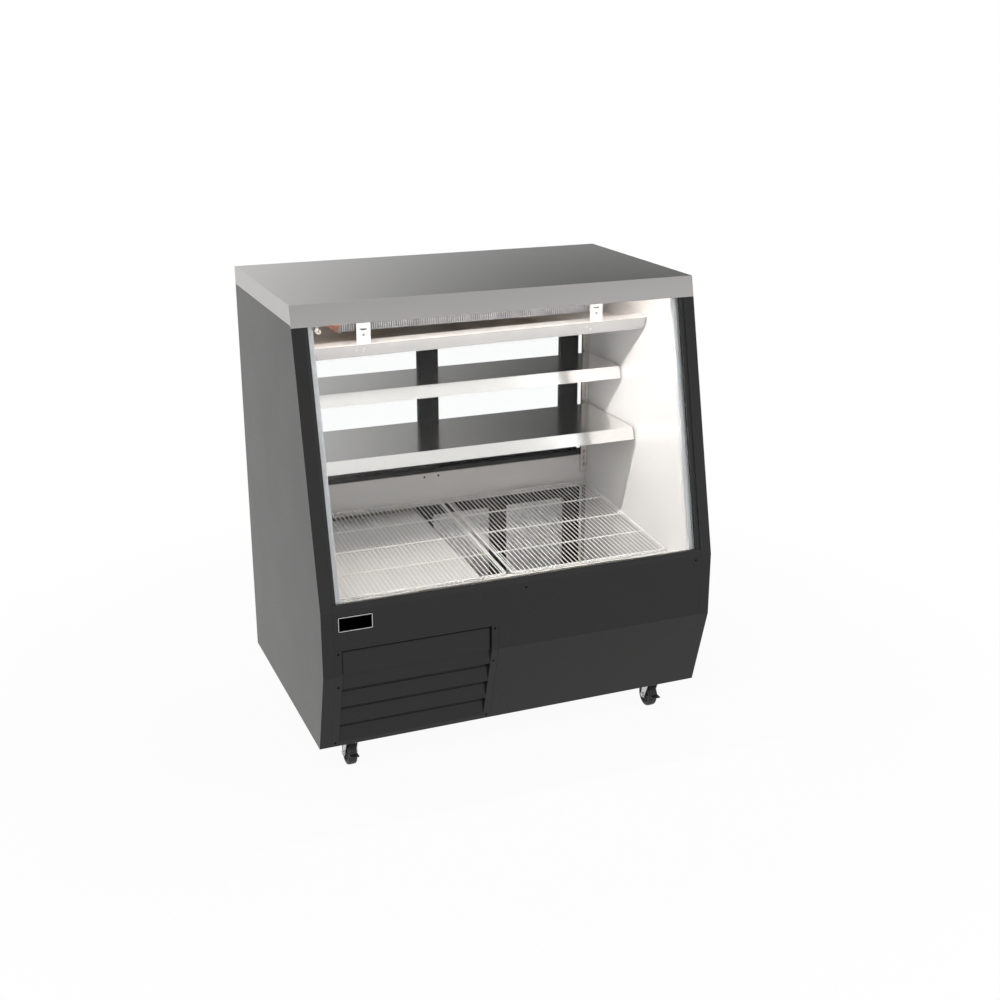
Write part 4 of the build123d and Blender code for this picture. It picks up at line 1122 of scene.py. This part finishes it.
# Stage, light and camera
def stage():
    """Plain floor with the case's shadow: near white to the camera, pale grey in polished metal."""
    size = 40.0
    mesh = bpy.data.meshes.new("floor")
    corners = [(-size, -size, 0), (size, -size, 0), (size, size, 0), (-size, size, 0)]
    mesh.from_pydata(corners, [], [(0, 1, 2, 3)])
    floor = bpy.data.objects.new("floor", mesh)
    bpy.context.scene.collection.objects.link(floor)
    paint = Paint("pale_floor", (0.86, 0.86, 0.86), 0.9)
    paint.tint(paint.noise(0.7), 0.01)
    far = paint.tree.nodes.new("ShaderNodeVectorMath")
    far.operation = "LENGTH"
    paint.link(paint.place, far.inputs[0])
    fade = paint.tree.nodes.new("ShaderNodeMapRange")
    fade.interpolation_type = "SMOOTHSTEP"
    fade.inputs["From Min"].default_value = 0.9
    fade.inputs["From Max"].default_value = 2.4
    fade.inputs["To Min"].default_value = 0.94
    fade.inputs["To Max"].default_value = 1.0
    paint.link(far.outputs["Value"], fade.inputs["Value"])
    path = paint.tree.nodes.new("ShaderNodeLightPath")
    seen = paint.tree.nodes.new("ShaderNodeMath")
    seen.operation = "MAXIMUM"
    paint.link(path.outputs["Is Camera Ray"], seen.inputs[0])
    paint.link(path.outputs["Is Transmission Ray"], seen.inputs[1])
    share = paint.tree.nodes.new("ShaderNodeMath")
    share.operation = "MULTIPLY"
    paint.link(seen.outputs["Value"], share.inputs[0])
    paint.link(fade.outputs["Result"], share.inputs[1])
    glow = paint.tree.nodes.new("ShaderNodeEmission")
    glow.inputs["Color"].default_value = (1, 1, 1, 1)
    glow.inputs["Strength"].default_value = 1.0
    mirrored = paint.tree.nodes.new("ShaderNodeEmission")
    mirrored.inputs["Color"].default_value = (0.78, 0.775, 0.77, 1)
    mirrored.inputs["Strength"].default_value = 1.0
    seen_white = paint.tree.nodes.new("ShaderNodeMixShader")
    paint.link(share.outputs["Value"], seen_white.inputs["Fac"])
    paint.link(paint.shader.outputs["BSDF"], seen_white.inputs[1])
    paint.link(glow.outputs["Emission"], seen_white.inputs[2])
    reflected = paint.tree.nodes.new("ShaderNodeMath")
    reflected.operation = "GREATER_THAN"
    reflected.inputs[1].default_value = 0.5
    paint.link(path.outputs["Glossy Depth"], reflected.inputs[0])
    mix = paint.tree.nodes.new("ShaderNodeMixShader")
    paint.link(reflected.outputs["Value"], mix.inputs["Fac"])
    paint.link(seen_white.outputs["Shader"], mix.inputs[1])
    paint.link(mirrored.outputs["Emission"], mix.inputs[2])
    paint.link(mix.outputs["Shader"], paint.tree.nodes["Material Output"].inputs["Surface"])
    mesh.materials.append(paint.material)


def studio_world():
    """White backdrop to the camera; polished metal sees it grey at the back right and above the front."""
    world = bpy.data.worlds.new("studio")
    bpy.context.scene.world = world
    world.use_nodes = True
    tree = world.node_tree
    background = tree.nodes["Background"]

    def math(operation, first, second):
        made = tree.nodes.new("ShaderNodeMath")
        made.operation = operation
        for index, source in enumerate((first, second)):
            if isinstance(source, float):
                made.inputs[index].default_value = source
            else:
                tree.links.new(source, made.inputs[index])
        return made.outputs["Value"]

    def ramp(source, start, end, low, high):
        made = tree.nodes.new("ShaderNodeMapRange")
        made.interpolation_type = "SMOOTHSTEP"
        made.inputs["From Min"].default_value = start
        made.inputs["From Max"].default_value = end
        made.inputs["To Min"].default_value = low
        made.inputs["To Max"].default_value = high
        tree.links.new(source, made.inputs["Value"])
        return made.outputs["Result"]

    def mix(factor, first, second):
        made = tree.nodes.new("ShaderNodeMix")
        made.data_type = "RGBA"
        tree.links.new(factor, made.inputs["Factor"])
        for index, source in ((6, first), (7, second)):
            if isinstance(source, tuple):
                made.inputs[index].default_value = (*source, 1.0)
            else:
                tree.links.new(source, made.inputs[index])
        return made.outputs[2]

    place = tree.nodes.new("ShaderNodeTexCoord")
    split = tree.nodes.new("ShaderNodeSeparateXYZ")
    tree.links.new(place.outputs["Generated"], split.inputs["Vector"])
    turn = math("ARCTAN2", split.outputs["X"], split.outputs["Y"])
    back_right = math(
        "MULTIPLY",
        ramp(turn, radians(0), radians(28), 0.0, 0.97),
        ramp(turn, radians(60), radians(100), 1.0, 0.0),
    )
    back_right = math("MULTIPLY", back_right, ramp(split.outputs["Z"], 0.06, 0.18, 0.0, 1.0))
    front_high = math(
        "MULTIPLY",
        ramp(split.outputs["Y"], -0.6, -0.1, 0.6, 0.0),
        ramp(split.outputs["Z"], 0.15, 0.27, 0.0, 1.0),
    )
    front_high = math("MULTIPLY", front_high, ramp(split.outputs["Z"], 0.32, 0.44, 1.0, 0.0))
    dark = math("MAXIMUM", back_right, front_high)
    mirrored = mix(dark, (1.0, 1.0, 1.0), (0.02, 0.02, 0.02))
    path = tree.nodes.new("ShaderNodeLightPath")
    reflected = math("GREATER_THAN", path.outputs["Glossy Depth"], 0.5)
    lit = mix(reflected, (0.42, 0.425, 0.43), mirrored)
    direct = math("MAXIMUM", path.outputs["Is Camera Ray"], path.outputs["Is Transmission Ray"])
    direct = math("MULTIPLY", direct, math("SUBTRACT", 1.0, reflected))
    tree.links.new(mix(direct, lit, (1.0, 1.0, 1.0)), background.inputs["Color"])
    background.inputs["Strength"].default_value = 1.0


def area_lamp(name, place, target, size, power, colour=(1.0, 1.0, 1.0)):
    """One soft rectangular lamp aimed at a point."""
    data = bpy.data.lights.new(name, "AREA")
    data.shape = "RECTANGLE"
    data.size, data.size_y = size
    data.energy = power
    data.color = colour
    lamp = bpy.data.objects.new(name, data)
    bpy.context.scene.collection.objects.link(lamp)
    lamp.location = place
    lamp.rotation_euler = (Vector(target) - Vector(place)).to_track_quat("-Z", "Y").to_euler()
    return lamp


def lights():
    """Soft studio lamps, and the glow of the case's own lamp."""
    area_lamp("key", (-3.2, -3.6, 4.2), (0, 0, 0.7), (3.0, 3.0), 110.0)
    fill = area_lamp("fill", (3.4, -3.0, 2.6), (0, 0, 0.7), (2.6, 2.6), 30.0)
    fill.visible_glossy = False
    top = area_lamp("top", (0.4, 1.0, 4.6), (0, 0, 0.7), (3.0, 3.0), 45.0)
    top.visible_glossy = False
    lamp_low, lamp_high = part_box("led_lamp")
    middle_y = (lamp_low.y + lamp_high.y) / 2
    strip = area_lamp(
        "case_lamp",
        (0, middle_y + 0.010, lamp_low.z - 0.004),
        (0, middle_y + 0.16, lamp_low.z - 0.40),
        (1.06, 0.016),
        8.5,
        (1.0, 0.96, 0.945),
    )
    strip.data.spread = radians(170)


def camera():
    """The photograph's viewpoint: left of the case and above it."""
    right = Vector((0.925395, -0.379004, 0.000372))
    up = Vector((0.123063, 0.301406, 0.945521))
    forward = Vector((0.358469, 0.874934, -0.325561))
    data = bpy.data.cameras.new("camera")
    data.lens = 50.0
    data.sensor_width = 36.0
    seen = bpy.data.objects.new("camera", data)
    bpy.context.scene.collection.objects.link(seen)
    axes = Matrix((right, up, -forward)).transposed().to_4x4()
    seen.matrix_world = Matrix.Translation((-1.47292, -3.82590, 2.08698)) @ axes
    bpy.context.scene.camera = seen


def main():
    bpy.context.scene.view_settings.view_transform = "Standard"
    dress_frame()
    for node in ("rack_left", "rack_right"):
        wire_rack(node)
    coil_dressing()
    cabinet_screws()
    rear_screws()
    drain_pan()
    drain_fitting()
    name_plate()
    sill_strip()
    grille_painted_shadow()
    liner_bushes()
    for side in ("left", "right"):
        door_trim(side)
    breaker_strips()
    duct_sheets()
    casters()
    compressor_trim()
    stage()
    studio_world()
    lights()
    camera()


main()
